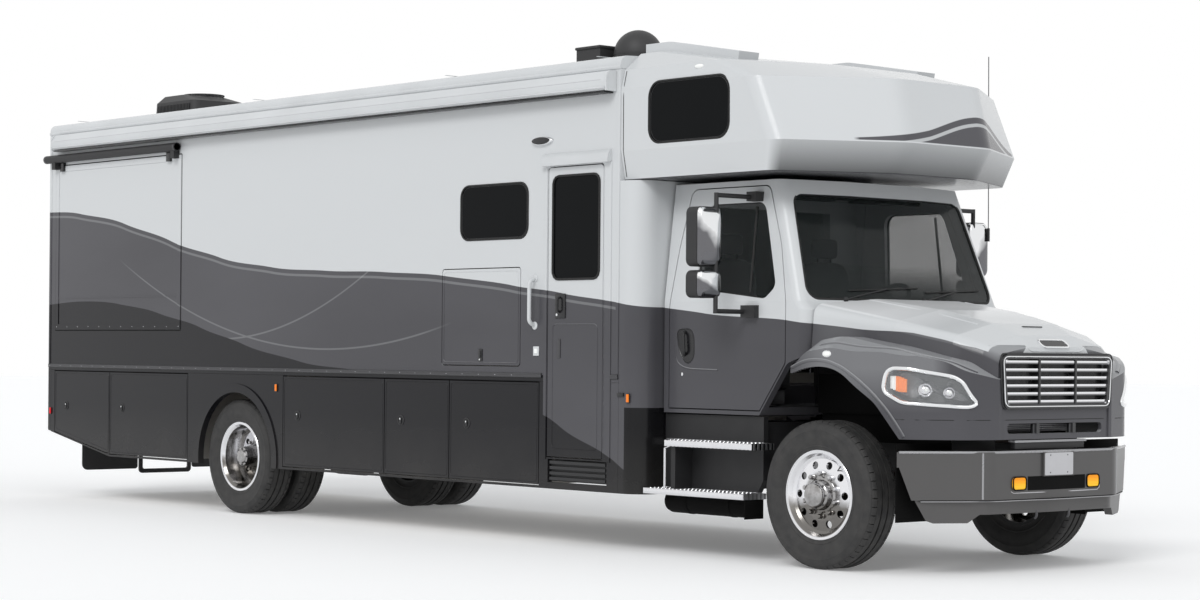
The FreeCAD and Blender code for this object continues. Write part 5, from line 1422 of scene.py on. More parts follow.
def make_seats():
    for label, y in (("passenger", -0.5), ("driver", 0.5)):
        squab = cushion("seat_squab_" + label, (3.000, y - 0.25, 1.400), (3.480, y + 0.25, 1.545), 0.10,
                        [(1, -0.52), (1, 0.52)])
        base = squab.build("coach", "seat_cloth", 60)
        back = cushion("seat_backrest_" + label, (-0.06, y - 0.24, 1.50), (0.06, y + 0.24, 2.13), 0.12,
                       [(1, -0.55), (1, 0.55), (2, 0.35)])
        lean = Matrix.Rotation(math.radians(-7.0), 4, "Y")
        for vert in back.form.verts:
            vert.co = lean @ (vert.co - Vector((0, 0, 1.5))) + Vector((3.045, 0, 1.5))
        back.build("coach", "seat_cloth", 60)
        head = cushion("seat_headrest_" + label, (2.95, y - 0.13, 2.155), (3.012, y + 0.13, 2.305), 0.15,
                       [])
        head.build("coach", "seat_cloth", 60)
        frame_part = Shape("seat_frame_" + label, "plastic", "dark_metal", "rubber")
        frame_part.block((3.070, y - 0.165, 1.066), (3.395, y + 0.165, 1.18), 0.012, 1)
        frame_part.block((3.050, y - 0.19, 1.180), (3.430, y + 0.19, 1.392), 0.03, 0)
        for post in (-0.07, 0.07):
            frame_part.tube([(2.985, y + post, 2.08), (2.982, y + post, 2.17)], 0.007, 8, 1)
        frame_part.tube([(3.10, y + 0.262, 1.36), (3.20, y + 0.268, 1.45)], 0.012, 8, 2)
        frame_part.build("coach", "black_plastic")
        if label == "passenger":
            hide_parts("cab_seats")


def make_dash():
    dash = Shape("dash_fittings", "dash", "trim_black", "dark_metal", "lamp_white")
    dash.block((3.735, 0.24, 1.60), (3.775, 0.74, 1.775), 0.018, 1)
    for y in (0.36, 0.49, 0.62):
        dash.lathe([(0, 0.052), (0.006, 0.052), (0.008, 0.047), (0.003, 0.044), (0.003, 0)],
                   (3.736, y, 1.70), (-1, 0, 0), 28, 2)
    dash.block((3.742, -0.16, 1.52), (3.772, 0.16, 1.77), 0.012, 1)
    dash.block((3.738, -0.13, 1.65), (3.744, 0.13, 1.75), 0.004, 3)
    for column in range(4):
        dash.block((3.734, -0.12 + column * 0.065, 1.56), (3.744, -0.075 + column * 0.065, 1.60), 0.004, 2)
    for y in (-0.78, -0.28, 0.20, 0.79):
        dash.block((3.755, y - 0.055, 1.67), (3.780, y + 0.055, 1.74), 0.008, 2)
    cowl = [(3.79, 1.78), (3.83, 1.835), (4.00, 1.835), (4.07, 1.785)]
    dash.plate("XZ", cowl, 0.22, 0.76, 0.02)
    dash.plate("XZ", [(3.85, 1.785), (3.88, 1.805), (4.03, 1.803), (4.08, 1.785)], -0.80, 0.16, 0.01)
    dash.build("coach", "black_plastic")
    mirror = Shape("cab_fittings", "rubber", "dark_metal", "board", "plastic")
    mirror.tube([(3.66, -0.80, 2.555), (3.66, 0.80, 2.555)], 0.010, 8)
    for y in (-0.45, 0.45):
        mirror.plate("XY", rounded_rectangle((3.56, y - 0.33), (3.69, y + 0.33), 0.03), 2.535, 2.551, 0.004,
                     3)
    mirror.tube(arc_through([(3.22, 0.18, 1.07), (3.30, 0.10, 1.30), (3.34, 0.08, 1.47)], 0.05), 0.012, 8,
                1)
    mirror.ball((3.342, 0.079, 1.49), (0.024, 0.024, 0.03), 0, 2)
    mirror.build("coach", "black_plastic")


def make_wipers():
    """Wipers with their arms and pivots."""
    skin = skin_of("windscreen", "cab_shell", "hood")
    gear = Shape("cab_outside", "rubber", "plastic")
    for pivot_y, tip_y in ((-0.66, 0.02), (0.10, 0.78)):
        foot, _ = hit(skin, (4.9, pivot_y, 1.845), (-1, 0, -0.02))
        blade = laid(skin, [(0, pivot_y + 0.04 + (tip_y - pivot_y) * step / 8, 1.872 + 0.030 * step / 8)
                            for step in range(9)], (3.3, 0, 0), 0.008)
        gear.tube(blade, 0.006, 6)
        gear.tube([foot + Vector((0.02, 0, -0.02)), foot + Vector((0.024, 0.12, 0.006)),
                   blade[4] + Vector((0.012, 0, 0.002))], 0.007, 6, 1)
        gear.ball(foot + Vector((0.012, 0, -0.02)), (0.022, 0.022, 0.022), 1, 2)
    gear.build("coach", "black_plastic")


def make_door_fittings(side, label):
    shell = skin_of("door_shell_" + label)
    gear = Shape("cab_door_fittings_" + label, "trim_black", "rubber", "chrome", "plastic", "coach")
    # recessed scoop: dark pan, raised rim and pull
    outline = [(3.002, 1.600), (3.140, 1.611), (3.178, 1.560), (3.182, 1.400), (3.110, 1.350),
               (3.030, 1.440)]
    path = [hit(shell, (x, 1.6 * side, z), (0, -side, 0)) for x, z in
            [(point.x, point.z) for point in arc_through(upright(outline, 0), 0.05, 4, True)]]
    rim = [point for point, _ in path]
    out = Vector((0, side, 0))
    gear.sweep([[point - out * 0.010 for point in rim], [point + out * 0.002 for point in rim]], 0)
    gear.tube([point + out * 0.001 for point in rim], 0.0045, 8, closed=True)
    upper, lower = (hit(shell, (3.085, 1.6 * side, z), (0, -side, 0))[0] for z in (1.590, 1.42))
    gear.tube(arc_through([upper, upper + out * 0.026 + Vector((0.01, 0, -0.02)),
                           lower + out * 0.026 + Vector((0.02, 0, 0.02)), lower], 0.02), 0.011, 8, 3)
    # window division bar
    bar = laid(skin_of("door_glass_" + label), [(3.712 - 0.003 * k, 0, 1.86 + 0.12 * k) for k in range(6)],
               (0, side, 0), -0.004)
    gear.tube(bar, 0.010, 8, 1)
    # pressed crease that runs down from the handle and forward
    sweep = arc_through([(2.985, 0, 1.50), (2.992, 0, 1.375), (3.09, 0, 1.325), (3.42, 0, 1.318)], 0.09, 6)
    gear.tube(laid(shell, sweep, (0, side, 0), -0.0035), 0.0075, 8, 4)
    # lock
    lock, _ = hit(shell, (3.06, 1.6 * side, 1.285), (0, -side, 0))
    gear.lathe([(-0.002, 0.012), (0.003, 0.012), (0.004, 0.008), (0.004, 0)], lock, out, 16, 2)
    gear.build("door_" + label, "black_plastic")


def make_mirror_faces(side, label):
    """Bright backs and glasses on the mirror heads."""
    y = 1.410 * side
    gear = Shape("mirror_faces_" + label, "mirror_shell", "mirror_glass", "rubber")
    for foot, head in ((2.030, 2.440), (1.815, 2.005)):
        outline = rounded_rectangle((y - 0.108, foot + 0.004), (y + 0.108, head - 0.004), 0.046, 5)
        middle = (y, (foot + head) / 2)
        rings = []
        for depth, grow in ((0.0, 1.0), (0.012, 0.985), (0.022, 0.93), (0.028, 0.80), (0.030, 0.45)):
            rings.append([(3.700 + depth, middle[0] + (u - middle[0]) * grow,
                           middle[1] + (v - middle[1]) * grow) for u, v in outline])
        gear.sweep(rings, 0)
        glass = rounded_rectangle((y - 0.098, foot + 0.014), (y + 0.098, head - 0.014), 0.040, 5)
        gear.plate("YZ", glass, 3.5915, 3.5945, 0, 1)
        gear.tube(facing_on(rounded_rectangle((y - 0.105, foot + 0.007), (y + 0.105, head - 0.007), 0.044,
                                              5), 3.595), 0.005, 6, 2, True)
    gear.build("door_" + label, "chrome")


class MOTORHOME_OT_cab(bpy.types.Operator):
    """Make the cab's handles, gaskets, mirrors, wipers, seats and dash"""

    bl_idname = "motorhome.cab"
    bl_label = "Dress the cab"

    def execute(self, context):
        make_gaskets()
        make_seats()
        make_dash()
        make_wipers()
        for side, label in SIDES:
            make_door_fittings(side, label)
            make_mirror_faces(side, label)
        return {"FINISHED"}


# ------------------------------------------------------------------------------------ house
HOUSE_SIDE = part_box("roof")[1].y      # how far the house's walls stand from the middle
BAY_LATCHES = {                       # bay door, x of its latch
    "right": ((1, -5.248), (2, -4.226), (3, -1.387), (4, 0.052), (5, 0.892)),
    "left": ((1, -5.20), (1, -3.40), (2, -1.387), (2, 0.30)),
}


def screws(name, body, start, step, count, axis, size=0.0045, finish="brushed", rows=1, row_step=(0, 0, 0)):
    """Rows of domed screw heads standing off a surface along an axis."""
    head = Shape("screw")
    head.lathe([(-0.001, size), (0.0006, size), (0.0020, size * 0.72), (0.0028, size * 0.3), (0.0029, 0.0)],
               (0, 0, 0), axis, 10)
    return solid_copies(name, rows_tree(), head, finish, body, "polished_alloy", Count=count * rows,
                        Per_Row=count, Start=start, Step=step, Row_Step=row_step)


def make_mouldings(side, label):
    """Belt moulding, roof edge rail, corner posts and side markers."""
    settings = sizes()
    face = HOUSE_SIDE * side
    foot = settings.belt_height
    trim = Shape("mouldings_" + label, "dark_metal", "white", "coach", "amber", "red", "trim_black")
    section = [(0, 0), (0.009, 0.002), (0.011, 0.008), (0.008, 0.013), (0.008, 0.021), (0.011, 0.026),
               (0.009, 0.032), (0, settings.belt_depth)]
    front = 1.784 if side == RIGHT else 2.630
    trim.sweep([[(x, face + side * out, foot + up) for out, up in section] for x in (-5.590, front)], 0)
    if side == RIGHT:
        trim.sweep([[(x, face + side * out, foot + up) for out, up in section] for x in (2.552, 2.634)], 0)
    edge_rail = [(0, 0), (0.008, 0.004), (0.012, 0.014), (0.010, 0.028), (0.004, 0.034), (0, 0.035)]
    trim.sweep([[(x, face + side * (out - 0.001), 3.476 + up) for out, up in edge_rail]
                for x in (-5.596, 2.636)], 1)
    for x, wide in ((-5.594, 0.034), (2.612, 0.022)):
        trim.block((x, face - 0.001 * side, 1.277), (x + wide, face + 0.004 * side, 3.47), 0.0015, 2)
    for x, z, lens in ((-1.702, 1.108, 3), (-5.546, 0.822, 4), (2.745, 1.108, 3)):
        trim.block((x - 0.016, face, z - 0.034), (x + 0.016, face + side * 0.006, z + 0.034), 0.002, 5)
        trim.block((x - 0.012, face + side * 0.004, z - 0.029),
                   (x + 0.012, face + side * 0.014, z + 0.029), 0.004, lens)
    trim.build("coach", "black_plastic")
    count = int((front + 5.56) / 0.20)
    screws("belt_screws_" + label, "coach", (-5.56, face + side * 0.0082, foot + 0.017), (0.20, 0, 0),
           count, (0, side, 0), 0.0035)
    screws("roof_rail_screws_" + label, "coach", (-5.55, face + side * 0.0105, 3.495), (0.17, 0, 0), 48,
           (0, side, 0), 0.004)


def make_bay_latches(side, label):
    """A round paddle latch on each bay door, with a dark line round the door's edge."""
    face = HOUSE_SIDE * side
    for bay in sorted({number for number, _ in BAY_LATCHES[label]}):
        name = "bay_door_%s_%d" % (label, bay)
        low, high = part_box(name)
        gear = Shape("bay_fittings_%s_%d" % (label, bay), "plastic", "chrome", "rubber", "charcoal")
        out = Vector((0, side, 0))
        for number, x in BAY_LATCHES[label]:
            if number != bay:
                continue
            centre = Vector((x, face, 0.878))
            gear.lathe([(-0.002, 0.042), (0.003, 0.042), (0.006, 0.038), (0.006, 0.033), (0.0015, 0.031),
                        (0.0015, 0.0)], centre, out, 32, 0)
            gear.block(centre + Vector((-0.014, 0.002 * side, -0.027)),
                       centre + Vector((0.014, 0.011 * side, 0.022)), 0.004, 0)
            gear.lathe([(0, 0.007), (0.012, 0.007), (0.013, 0.005), (0.013, 0.0)],
                       centre + Vector((0, 0, 0.012)), out, 16, 1)
        inset = 0.018
        outline = rectangle(low.x, low.z, high.x, high.z, inset)
        if low.z > 0.45 or bay == 1:
            rise = 0.627 + 0.022 - 0.445
            outline[0] = (low.x + inset, low.z + inset + rise * min(1.0, (-4.45 - low.x) / 1.15))
            if label == "left":
                outline.insert(1, (-4.45, low.z + inset))
        gear.tube(arc_through(upright(outline, face), 0.03, 3, True), 0.0022, 6, 3, True)
        gear.build(BODY_OF[name], "black_plastic")


def make_slide_frame(side, label):
    """Flange, ledge, seal and screws round the slide room's face."""
    name = "slide_" + label
    low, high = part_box(name)
    face = HOUSE_SIDE * side
    frame_part = Shape("slide_flange_" + label, "coach", "rubber")
    sheet = (low.x, low.z, high.x, high.z)
    frame_part.plate("XZ", rectangle(*sheet, 0.004), face - side * 0.001, face + side * 0.006, 0.0012, 0,
                     rectangle(*sheet, 0.055))
    ledge = rectangle(low.x + 0.055, low.z + 0.30, high.x - 0.055, low.z + 0.312)
    frame_part.plate("XZ", ledge, face - side * 0.001, face + side * 0.004, 0.001, 0)
    frame_part.tube(upright(rectangle(*sheet, -0.001), face - side * 0.002), 0.004, 6, 1, True)
    frame_part.build(BODY_OF[name], "shell_white")
    screws("slide_screws_" + label, BODY_OF[name], (low.x + 0.03, face + side * 0.006, low.z + 0.03),
           ((high.x - low.x - 0.06) / 11, 0, 0), 12, (0, side, 0), 0.004, "brushed", 2,
           (0, 0, high.z - low.z - 0.06))


def make_window_frames():
    """Rubber and a thin dark frame round every fixed window."""
    frames = Shape("window_frames", "rubber", "trim_black")
    for facing in ((0, -1, 0), (0, 1, 0), (-1, 0, 0)):
        for loop in rim_loops("house_windows", facing, 0.9):
            if len(loop) < 6:
                continue
            walked = evened(loop, 0.025)
            out = Vector(facing)
            proud = 0.004 if facing[1] else -0.003
            frames.tube([point + out * proud for point in walked], 0.0075, 8, closed=True)
            middle = sum(walked, Vector()) / len(walked)
            inner = [middle + (point - middle) * 0.955 + out * 0.0005 for point in walked]
            frames.tube(inner, 0.0030, 6, 1, True)
    frames.build("coach", "black_plastic")


def make_entry():
    """Frame, drip cap, latch, hinges, grab handle, porch lamp and switch of the entry door."""
    face = -HOUSE_SIDE
    frame_part = Shape("entry_frame", "coach")
    outer, inner = rectangle(1.812, 0.640, 2.552, 2.818), rectangle(1.838, 0.640, 2.472, 2.810)
    frame_part.sweep(frame_rings(outer, inner, face))
    frame_part.build("coach", "shell_white")

    drip = Shape("entry_drip_cap", "white")
    section = [(0.0, 0.0), (-0.020, -0.012), (-0.044, -0.012), (-0.048, 0.004), (-0.036, 0.050),
               (-0.014, 0.078), (0.0, 0.084)]
    drip.sweep([[(x, face + out, 2.824 + up) for out, up in section] for x in (1.800, 2.547)])
    drip.build("coach", "shell_white")

    gear = Shape("entry_door_fittings", "trim_black", "chrome", "rubber", "dark_metal", "coach")
    gear.block((1.937, face - 0.010, 1.684), (2.052, face, 1.866), 0.006, 0)
    gear.tube(arc_through([(1.998, face - 0.008, 1.840), (1.998, face - 0.038, 1.830),
                           (1.998, face - 0.038, 1.740), (1.998, face - 0.008, 1.730)], 0.012), 0.009, 8)
    gear.lathe([(0, 0.010), (0.004, 0.010), (0.005, 0.007), (0.005, 0)], (1.963, face - 0.010, 1.71),
               (0, -1, 0), 16, 1)
    gear.block((1.966, face - 0.006, 1.390), (1.996, face, 1.530), 0.003, 3)
    pane = [(point.x, point.z) for point in evened(rim_loops("entry_glass", (0, -1, 0), 0.9)[0], 0.03)]
    gear.tube(upright(pane, face - 0.002), 0.009, 8, 2, True)
    panel = rounded_rectangle((1.905, 0.72), (2.405, 1.64), 0.04)
    gear.tube(upright(panel, face - 0.0005), 0.0028, 6, 4, True)
    gear.build("entry_door", "black_plastic")

    hinge = Shape("hinge")
    hinge.tube([(0, 0, -0.045), (0, 0, 0.045)], 0.0045, 8)
    solid_copies("entry_hinges", rows_tree(), hinge, "coach", "coach", "polished_alloy", Count=18,
                 Per_Row=18, Start=(2.478, face - 0.006, 0.78), Step=(0, 0, 0.114))

    rail = Shape("grab_handle", "white")
    rail.tube(arc_through([(1.700, face - 0.002, 1.985), (1.700, face - 0.058, 1.960),
                           (1.700, face - 0.058, 1.655), (1.700, face - 0.002, 1.630)], 0.03, 5), 0.0155,
              12)
    for z in (1.630, 1.985):
        rail.lathe([(-0.001, 0.030), (0.005, 0.030), (0.010, 0.024), (0.011, 0.0)], (1.700, face, z),
                   (0, -1, 0), 24, 0)
    rail.build("coach", "shell_white")

    lamp = Shape("porch_lamp", "chrome", "trim_black")
    oval = [(1.774 + math.cos(a) * 0.125, 3.007 + math.sin(a) * 0.034) for a in
            [k * math.pi / 16 for k in range(32)]]
    rings = [[(1.774 + (x - 1.774) * grow, face - out, 3.007 + (z - 3.007) * grow) for x, z in oval]
             for out, grow in ((0.0, 1.0), (0.012, 0.98), (0.022, 0.90), (0.024, 0.86))]
    lamp.sweep(rings, 0)
    lens = [[(1.774 + (x - 1.774) * grow, face - out, 3.007 + (z - 3.007) * grow) for x, z in oval]
            for out, grow in ((0.020, 0.84), (0.027, 0.80), (0.031, 0.60), (0.032, 0.3))]
    lamp.sweep(lens, 1)
    lamp.build("coach", "chrome")

    plate = Shape("porch_switch", "white", "lamp_white", "trim_black")
    plate.block((1.688, face - 0.007, 1.405), (1.752, face, 1.475), 0.003, 0)
    plate.block((1.706, face - 0.012, 1.422), (1.734, face - 0.005, 1.458), 0.003, 1)
    plate.block((2.632, face - 0.012, 1.118), (2.700, face, 1.146), 0.004, 2)
    plate.build("coach", "shell_white")


def frame_rings(outer, inner, face):
    """Closed frame open at the foot: rings from one foot to the other."""
    back, front = face + 0.001, face - 0.006
    return [[(outer[k][0], back, outer[k][1]), (outer[k][0], front, outer[k][1]),
             (inner[k][0], front, inner[k][1]), (inner[k][0], back, inner[k][1])] for k in (0, 3, 2, 1)]


def make_hatch():
    face = -HOUSE_SIDE
    gear = Shape("outdoor_hatch_fittings", "trim_black", "chrome", "coach")
    gear.block((1.030, face - 0.008, 1.360), (1.080, face, 1.452), 0.005, 0)
    gear.block((1.040, face - 0.014, 1.385), (1.070, face - 0.006, 1.440), 0.004, 0)
    gear.lathe([(0, 0.007), (0.004, 0.007), (0.005, 0.0)], (1.055, face - 0.008, 1.371), (0, -1, 0), 14, 1)
    gear.tube(upright(rounded_rectangle((0.597, 1.349), (1.504, 2.046), 0.03), face - 0.0005),
              0.0026, 6, 2, True)
    gear.build("outdoor_hatch", "black_plastic")


def make_awning():
    """Lead rail, end caps and seal of the awning; end caps and clips of the slide's topper roll."""
    low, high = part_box("awning_case")
    gear = Shape("awning_fittings", "white", "trim_black", "brushed")
    gear.block((low.x + 0.02, low.y + 0.012, low.z - 0.012), (high.x - 0.02, high.y - 0.004, low.z - 0.001),
               0.003, 1)
    gear.tube([(low.x + 0.01, low.y + 0.004, low.z + 0.026), (high.x - 0.01, low.y + 0.004, low.z + 0.026)],
              0.007, 10)
    for x in (low.x, high.x):
        side = -1 if x == low.x else 1
        cap = [(low.y + 0.002, low.z + 0.002), (high.y - 0.002, low.z + 0.002),
               (high.y - 0.002, high.z - 0.002), (low.y + 0.030, high.z - 0.002),
               (low.y + 0.002, high.z - 0.045)]
        gear.plate("YZ", cap, min(x, x + side * 0.012), max(x, x + side * 0.012), 0.003, 0)
    gear.tube([(low.x + 0.05, low.y + 0.001, 3.40), (high.x - 0.05, low.y + 0.001, 3.40)], 0.0018, 6, 2)
    gear.build("coach", "shell_white")
    low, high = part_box("slide_topper")
    roll = Shape("topper_fittings", "trim_black", "topper_cloth", "dark_metal")
    centre = Vector((0, -1.314, 3.240))
    for x in (low.x, high.x - 0.03):
        roll.lathe([(0, 0.030), (0.004, 0.0385), (0.026, 0.0385), (0.030, 0.030)],
                   (x, centre.y, centre.z), (1, 0, 0), 28, 2)
    for x in (-5.330, -3.420):
        roll.block((x - 0.035, -1.300, 3.118), (x + 0.035, -1.272, 3.205), 0.006, 0)
        roll.tube([(x, -1.286, 3.20), (x, -1.300, 3.225)], 0.010, 8, 2)
    roll.build("slide_right", "black_plastic")


def make_left_fittings():
    """Fuel filler, inlets, vents and a heater grille on the left side, which the right side lacks."""
    face = HOUSE_SIDE
    gear = Shape("left_hatches", "coach", "trim_black", "chrome", "white", "plastic")
    for low, high, lid in (((-2.35, 1.42), (-1.98, 1.66), 3), ((-3.02, 1.42), (-2.72, 1.66), 3),
                           ((2.05, 1.40), (2.34, 1.62), 3)):
        gear.plate("XZ", rounded_rectangle(low, high, 0.03), face - 0.001, face + 0.008, 0, lid)
        inner = rounded_rectangle((low[0] + 0.02, low[1] + 0.02), (high[0] - 0.02, high[1] - 0.02), 0.02)
        gear.plate("XZ", inner, face + 0.007, face + 0.013, 0, lid)
        gear.block(((low[0] + high[0]) / 2 - 0.02, face + 0.012, low[1] + 0.028),
                   ((low[0] + high[0]) / 2 + 0.02, face + 0.017, low[1] + 0.044), 0.002, 1)
    gear.lathe([(0, 0.060), (0.006, 0.060), (0.010, 0.052), (0.010, 0.046), (0.022, 0.044), (0.026, 0.036),
                (0.027, 0.0)], (2.30, face, 0.95), (0, 1, 0), 32, 4)
    for x0, x1, z0, z1 in ((-2.42, -1.98, 1.86, 2.16), (2.02, 2.40, 2.0, 2.40)):
        gear.plate("XZ", rectangle(x0, z0, x1, z1), face - 0.001, face + 0.010, 0.002, 3,
                   rectangle(x0, z0, x1, z1, 0.02))
        gear.plate("XZ", rectangle(x0, z0, x1, z1, 0.018), face - 0.001, face + 0.002, 0, 1)
    gear.build("coach", "shell_white")
    for name, x0, x1, z0, z1 in (("vent_a", -2.40, -2.00, 1.885, 2.14),
                                 ("vent_b", 2.04, 2.38, 2.025, 2.38)):
        slat = Shape("slat")
        slat.block((0, -0.002, -0.005), (x1 - x0, 0.010, 0.005), 0.0015,
                   turn=Matrix.Rotation(math.radians(24), 3, "X"))
        solid_copies("left_" + name, rows_tree(), slat, "white", "coach", "shell_white",
                     Count=int((z1 - z0) / 0.026), Per_Row=1, Start=(x0, face + 0.001, z0),
                     Row_Step=(0, 0, 0.026))


def make_rear():
    """Clearance lamps, blank plate and camera on the rear wall, and the trim of its tail lamps."""
    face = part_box("rear_wall")[0].x
    gear = Shape("rear_lamps", "trim_black", "red", "chrome", "white")
    for y in (-0.20, 0.0, 0.20, -1.12, 1.12):
        gear.block((face - 0.004, y - 0.045, 3.395), (face + 0.01, y + 0.045, 3.425), 0.002, 0)
        gear.block((face - 0.009, y - 0.036, 3.400), (face, y + 0.036, 3.420), 0.003, 1)
    gear.block((face - 0.003, -0.17, 0.86), (face + 0.01, 0.17, 1.03), 0.001, 0)
    gear.block((face - 0.005, -0.15, 0.872), (face, 0.15, 1.018), 0.001, 3)
    gear.block((face - 0.008, -0.05, 3.24), (face + 0.01, 0.05, 3.30), 0.003, 0)
    gear.lathe([(0, 0.018), (0.002, 0.018), (0.003, 0.014), (0.001, 0.0)], (face - 0.0075, 0, 3.27),
               (-1, 0, 0), 20, 2)
    for side in (RIGHT, LEFT):
        edge_line = rounded_rectangle((1.09 * side - 0.061, 0.879), (1.09 * side + 0.061, 1.181), 0.026)
        gear.tube(facing_on(edge_line, face), 0.004, 6, 2, True)
        for z in (0.975, 1.055):
            gear.block((face - 0.002, 1.09 * side - 0.058, z - 0.003),
                       (face + 0.004, 1.09 * side + 0.058, z + 0.003), 0.0005, 0)
    gear.build("coach", "black_plastic")


def make_cap():
    """Seam, clearance lamp and whip aerial."""
    gear = Shape("cap_fittings", "rubber", "lamp_white")
    skin = skin_of("front_cap")
    for side in (RIGHT, LEFT):
        spot, normal = hit(skin, (3.42, 1.8 * side, 3.52), (0, -side, -0.15))
        gear.ball(spot, (0.045, 0.018, 0.016), 1, 2)
        seam = []
        for step in range(9):
            point, normal = hit(skin, (2.665, 1.8 * side, 2.70 + 0.095 * step), (0, -side, 0))
            seam.append(point + normal * 0.0005)
        gear.tube(seam, 0.003, 6)
    gear.build("coach", "black_plastic")
    whip = Shape("whip_aerial", "trim_black", "dark_metal")
    foot = Vector((3.738, 1.497, 2.30))
    whip.tube([foot + Vector((-0.12, -0.045, 0.02)), foot + Vector((0, 0, 0.02))], 0.008, 8)
    whip.tube([foot, foot + Vector((0, 0, 0.10))], 0.012, 10)
    whip.tube([foot + Vector((0, 0, 0.10)), foot + Vector((0, 0, 0.20)), foot + Vector((-0.01, 0, 1.40))],
              0.0035, 6, 1)
    whip.build("door_left", "black_plastic")


class MOTORHOME_OT_house(bpy.types.Operator):
    """Make the house's frames, mouldings, latches, lamps, rails and vents"""

    bl_idname = "motorhome.house"
    bl_label = "Dress the house"

    def execute(self, context):
        for side, label in SIDES:
            make_mouldings(side, label)
            make_bay_latches(side, label)
            make_slide_frame(side, label)
        make_window_frames()
        make_entry()
        make_hatch()
        make_awning()
        make_left_fittings()
        make_rear()
        make_cap()
        return {"FINISHED"}


# ------------------------------------------------------------------------------------ roof
UP = (0, 0, 1)
COOLER_TOP = 3.900
FAN_SEAT, FAN_HUB = (-4.86, 0, COOLER_TOP - 0.001), (-4.86, 0, COOLER_TOP + 0.005)
DOME_FOOT, DOME_SEAM = (1.430, 0, 3.604), (1.430, 0, 3.778)
ROOF_SKIN = 3.6005            # height at which the seams' screws sit


def spoke_form():
    form = Shape("spoke")
    form.block((-0.003, 0, -0.003), (0.003, 0.152, 0.003), 0.001)
    return form


def louvre_form():
    form = Shape("slat")
    form.block((-0.004, -0.004, 0), (0.010, 0.004, 0.14), 0.002)
    return form


class MOTORHOME_OT_roof(bpy.types.Operator):
    """Make the roof cooler's louvres and fan, the dome's rings, the vent lid and the roof seams"""

    bl_idname = "motorhome.roof"
    bl_label = "Dress the roof"

    def execute(self, context):
        gear = Shape("roof_fittings", "roof_shroud", "dark_metal", "plastic", "white")
        gear.ring([(0, 0.19), (0.010, 0.19), (0.010, 0.20), (0, 0.20)], FAN_SEAT, UP,
                  48, 2)
        for radius in (0.05, 0.09, 0.13, 0.165):
            gear.ring([(0.004, radius - 0.003), (0.009, radius - 0.003), (0.009, radius + 0.003),
                       (0.004, radius + 0.003)], FAN_SEAT, UP, 40, 1)
        gear.lathe([(0.0, 0.035), (0.012, 0.035), (0.014, 0.028), (0.014, 0.0)], FAN_SEAT,
                   UP, 24, 1)
        gear.ring([(0, 0.163), (0.012, 0.163), (0.012, 0.202), (0.004, 0.208), (0, 0.208)],
                  DOME_FOOT, UP, 48, 2)
        gear.ring([(0.0, 0.1945), (0.008, 0.1945), (0.008, 0.1975), (0.0, 0.1975)], DOME_SEAM, UP, 64, 0)
        gear.block((0.930, -0.232, 3.838), (1.232, 0.232, 3.862), 0.010, 0)
        gear.block((0.960, -0.05, 3.860), (0.985, 0.05, 3.872), 0.004, 2)
        # low vents and a skylight, seen from above
        for x, y, wide, deep in ((-3.5, 0.0, 0.36, 0.36), (-1.0, -0.35, 0.36, 0.36),
                                 (0.15, 0.30, 0.62, 0.42)):
            gear.block((x - wide / 2 - 0.03, y - deep / 2 - 0.03, 3.596), (x + wide / 2 + 0.03,
                                                                           y + deep / 2 + 0.03, 3.612),
                       0.006, 3)
            gear.block((x - wide / 2, y - deep / 2, 3.610), (x + wide / 2, y + deep / 2, 3.668), 0.020, 0)
        for x in (-5.2, -2.2, 0.5, 2.3):
            gear.block((x - 0.012, -1.20, 3.5985), (x + 0.012, 1.20, 3.6015), 0.001, 3)
        gear.build("coach", "black_plastic")
        solid_copies("fan_spokes", ring_tree(), spoke_form(), "dark_metal", "coach", "black_plastic",
                     Count=16, Centre=FAN_HUB, Axis=UP, Arm=(0.0, 0.035, 0))
        for side in (RIGHT, LEFT):
            solid_copies("cooler_louvres_%d" % side, rows_tree(), louvre_form(), "plastic", "coach",
                         "black_plastic", Count=22, Per_Row=22, Start=(-5.18, 0.3215 * side, 3.66),
                         Step=(0.026, 0, 0))
        screws("roof_seam_screws", "coach", (-5.2, -1.14, ROOF_SKIN), (0, 0.19, 0), 13, UP, 0.005,
               "brushed", 2, (3.0, 0, 0))
        return {"FINISHED"}


# ------------------------------------------------------------------------------------ steps and underside
def make_steps():
    for side, label in SIDES:
        gear = Shape("step_trim_" + label, "brushed", "pitch_black", "polished")
        tank = Vector((2.83, 0.93 * side, 0.372))     # rear end of the air tank behind the steps
        for x0, x1, y, z0, z1 in ((3.070, 3.941, 1.2165, 0.778, 0.818),
                                  (2.865, 3.871, 1.2265, 0.435, 0.471)):
            gear.block((x0, y * side, z0), (x1, (y + 0.0015) * side, z1), 0.0005, 2)
        gear.tube([(3.052, 1.195 * side, 0.46), (3.052, 1.195 * side, 0.76), (3.10, 1.170 * side, 0.785)],
                  0.010, 8, 2)
        gear.block((3.868, 1.212 * side, 0.300), (3.874, 1.030 * side, 0.455), 0.001, 1)
        gear.lathe([(0, 0), (0, 0.05), (0.02, 0.075), (0.05, 0.085), (0.83, 0.085), (0.86, 0.075),
                    (0.88, 0.05), (0.88, 0)], tank, (1, 0, 0), 28, 1)
        for x in (3.05, 3.48):
            gear.lathe([(0, 0.0852), (0, 0.088), (0.035, 0.088), (0.035, 0.0852)],
                       (x, tank.y, tank.z), (1, 0, 0), 28, 1)
        gear.build("coach", "polished_alloy")
        for name, x0, x1, z in (("upper", 3.10, 3.92, 0.820), ("lower", 2.90, 3.85, 0.473)):
            pitch = 0.0385
            count = int((x1 - x0) / pitch)
            solid_copies("tread_buttons_%s_%s" % (name, label), rows_tree(), button_form(), "polished",
                         "coach", "polished_alloy", Count=count * 4, Per_Row=count,
                         Start=(x0, 1.065 * side, z), Step=(pitch, 0, 0), Row_Step=(0, 0.040 * side, 0))


